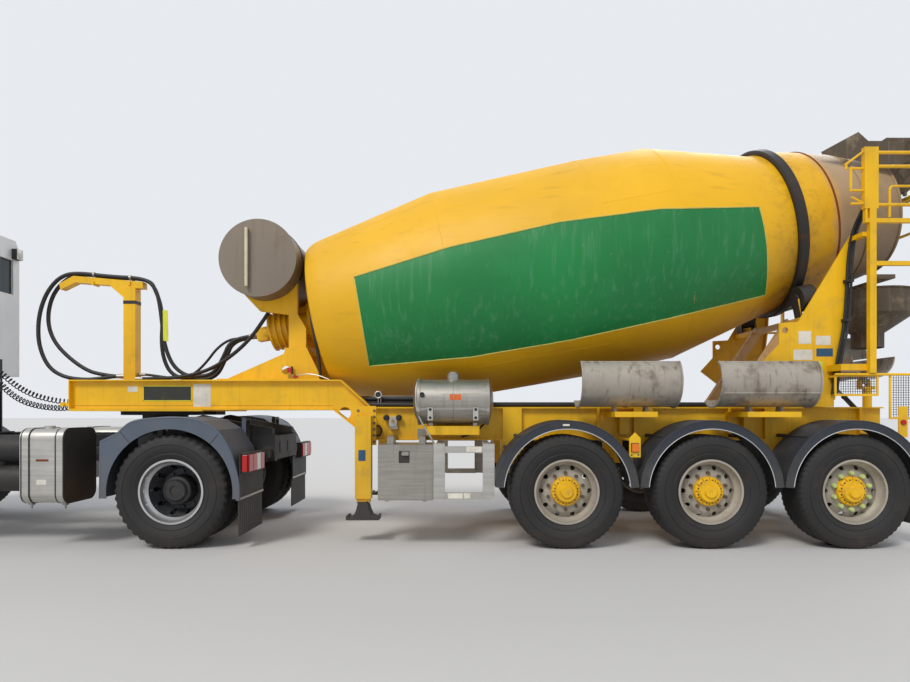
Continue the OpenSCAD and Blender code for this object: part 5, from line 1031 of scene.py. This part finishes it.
def spline(p, n):
    out = []
    for i in range(len(p) - 1):
        a, b, c, d = p[max(i - 1, 0)], p[i], p[i + 1], p[min(i + 2, len(p) - 1)]
        for k in range(n):
            t = k / n
            out.append(tuple(0.5 * (2 * b[j] + (c[j] - a[j]) * t + (2 * a[j] - 5 * b[j] + 4 * c[j] - d[j]) * t * t
                                    + (3 * b[j] - a[j] - 3 * c[j] + d[j]) * t ** 3) for j in (0, 1)))
    return out + [p[-1]]


edge = Piece("mudguard_edges", "tractor", "slate", "dark")
for sd in (-1, 1):
    edge.mat(0).tube([(XD + 0.985 * x, sd * 1.240, ZW + 0.985 * z)
                      for x, z in LINE[:1] + spline(LINE[1:], 6)], 0.013, 10)
    for x, z in ((-0.452, 0.561), (0.451, 0.535)):
        d = Vector((x, 0, z)).normalized()
        t = Vector((-d.z, 0, d.x)) * 0.0025
        a, b = (Vector((XD, sd * 1.2495, ZW)) + d * r for r in (0.574, hyp(x, z) - 0.012))
        edge.mat(1).plate([a - t, b - t, b + t, a + t], (0, sd * 0.0015, 0))
edge.done("guard_plastic")

# couplings on the connection board
bx = XK - 2.0
cpl = Piece("couplings", "tractor", "dark", "red_valve", "tag", "steel")
for y in (-0.16, -0.08, 0.08, 0.16):
    cpl.mat(3).lathe((bx, y, 1.60), (1, 0, 0), [(0.0, 0.030), (0.020, 0.030), (0.026, 0.022), (0.026, 0)], 20)
for z in (1.60, 1.72):
    cpl.mat(0).lathe((bx, 0, z), (1, 0, 0), [(0.014, 0.020), (0.030, 0.018), (0.036, 0.0)], 24)
cpl.mat(1).box((bx, -0.055, 1.755), (bx + 0.018, -0.015, 1.790))
cpl.mat(2).box((bx, -0.055, 1.635), (bx + 0.018, -0.015, 1.670))
cpl.done("trim", bevel=0.002)

# cab: mirror glass, work lamps' lenses and wipers
cab = Piece("cab_details", "cab", "trim", "mirror", "alu")
for s in (-1, 1):
    for z0, z1 in ((2.62, 2.92), (2.18, 2.57)):
        cab.mat(1).box((CF + 0.1602, s * (CH + 0.055), z0), (CF + 0.1625, s * (CH + 0.235), z1))
    cab.mat(2).lathe((CREAR + 0.0703, s * 1.135, 3.27), (1, 0, 0), [(0.056, 0), (0.050, 0.003), (0, 0.006)], 32)
for y in (-0.47, 0.33):
    a, b = Vector((CF - 0.020, y, 1.93)), Vector((CF + 0.145, y + 0.55, 2.47))
    mid, tip = (a + b) / 2 - Vector((0.02, 0, 0)), b - Vector((0.018, 0, 0))
    cab.mat(0).tube([a, mid, tip], [0.011, 0.009, 0.006], 8)
cab.done("trim", bevel=0.003)
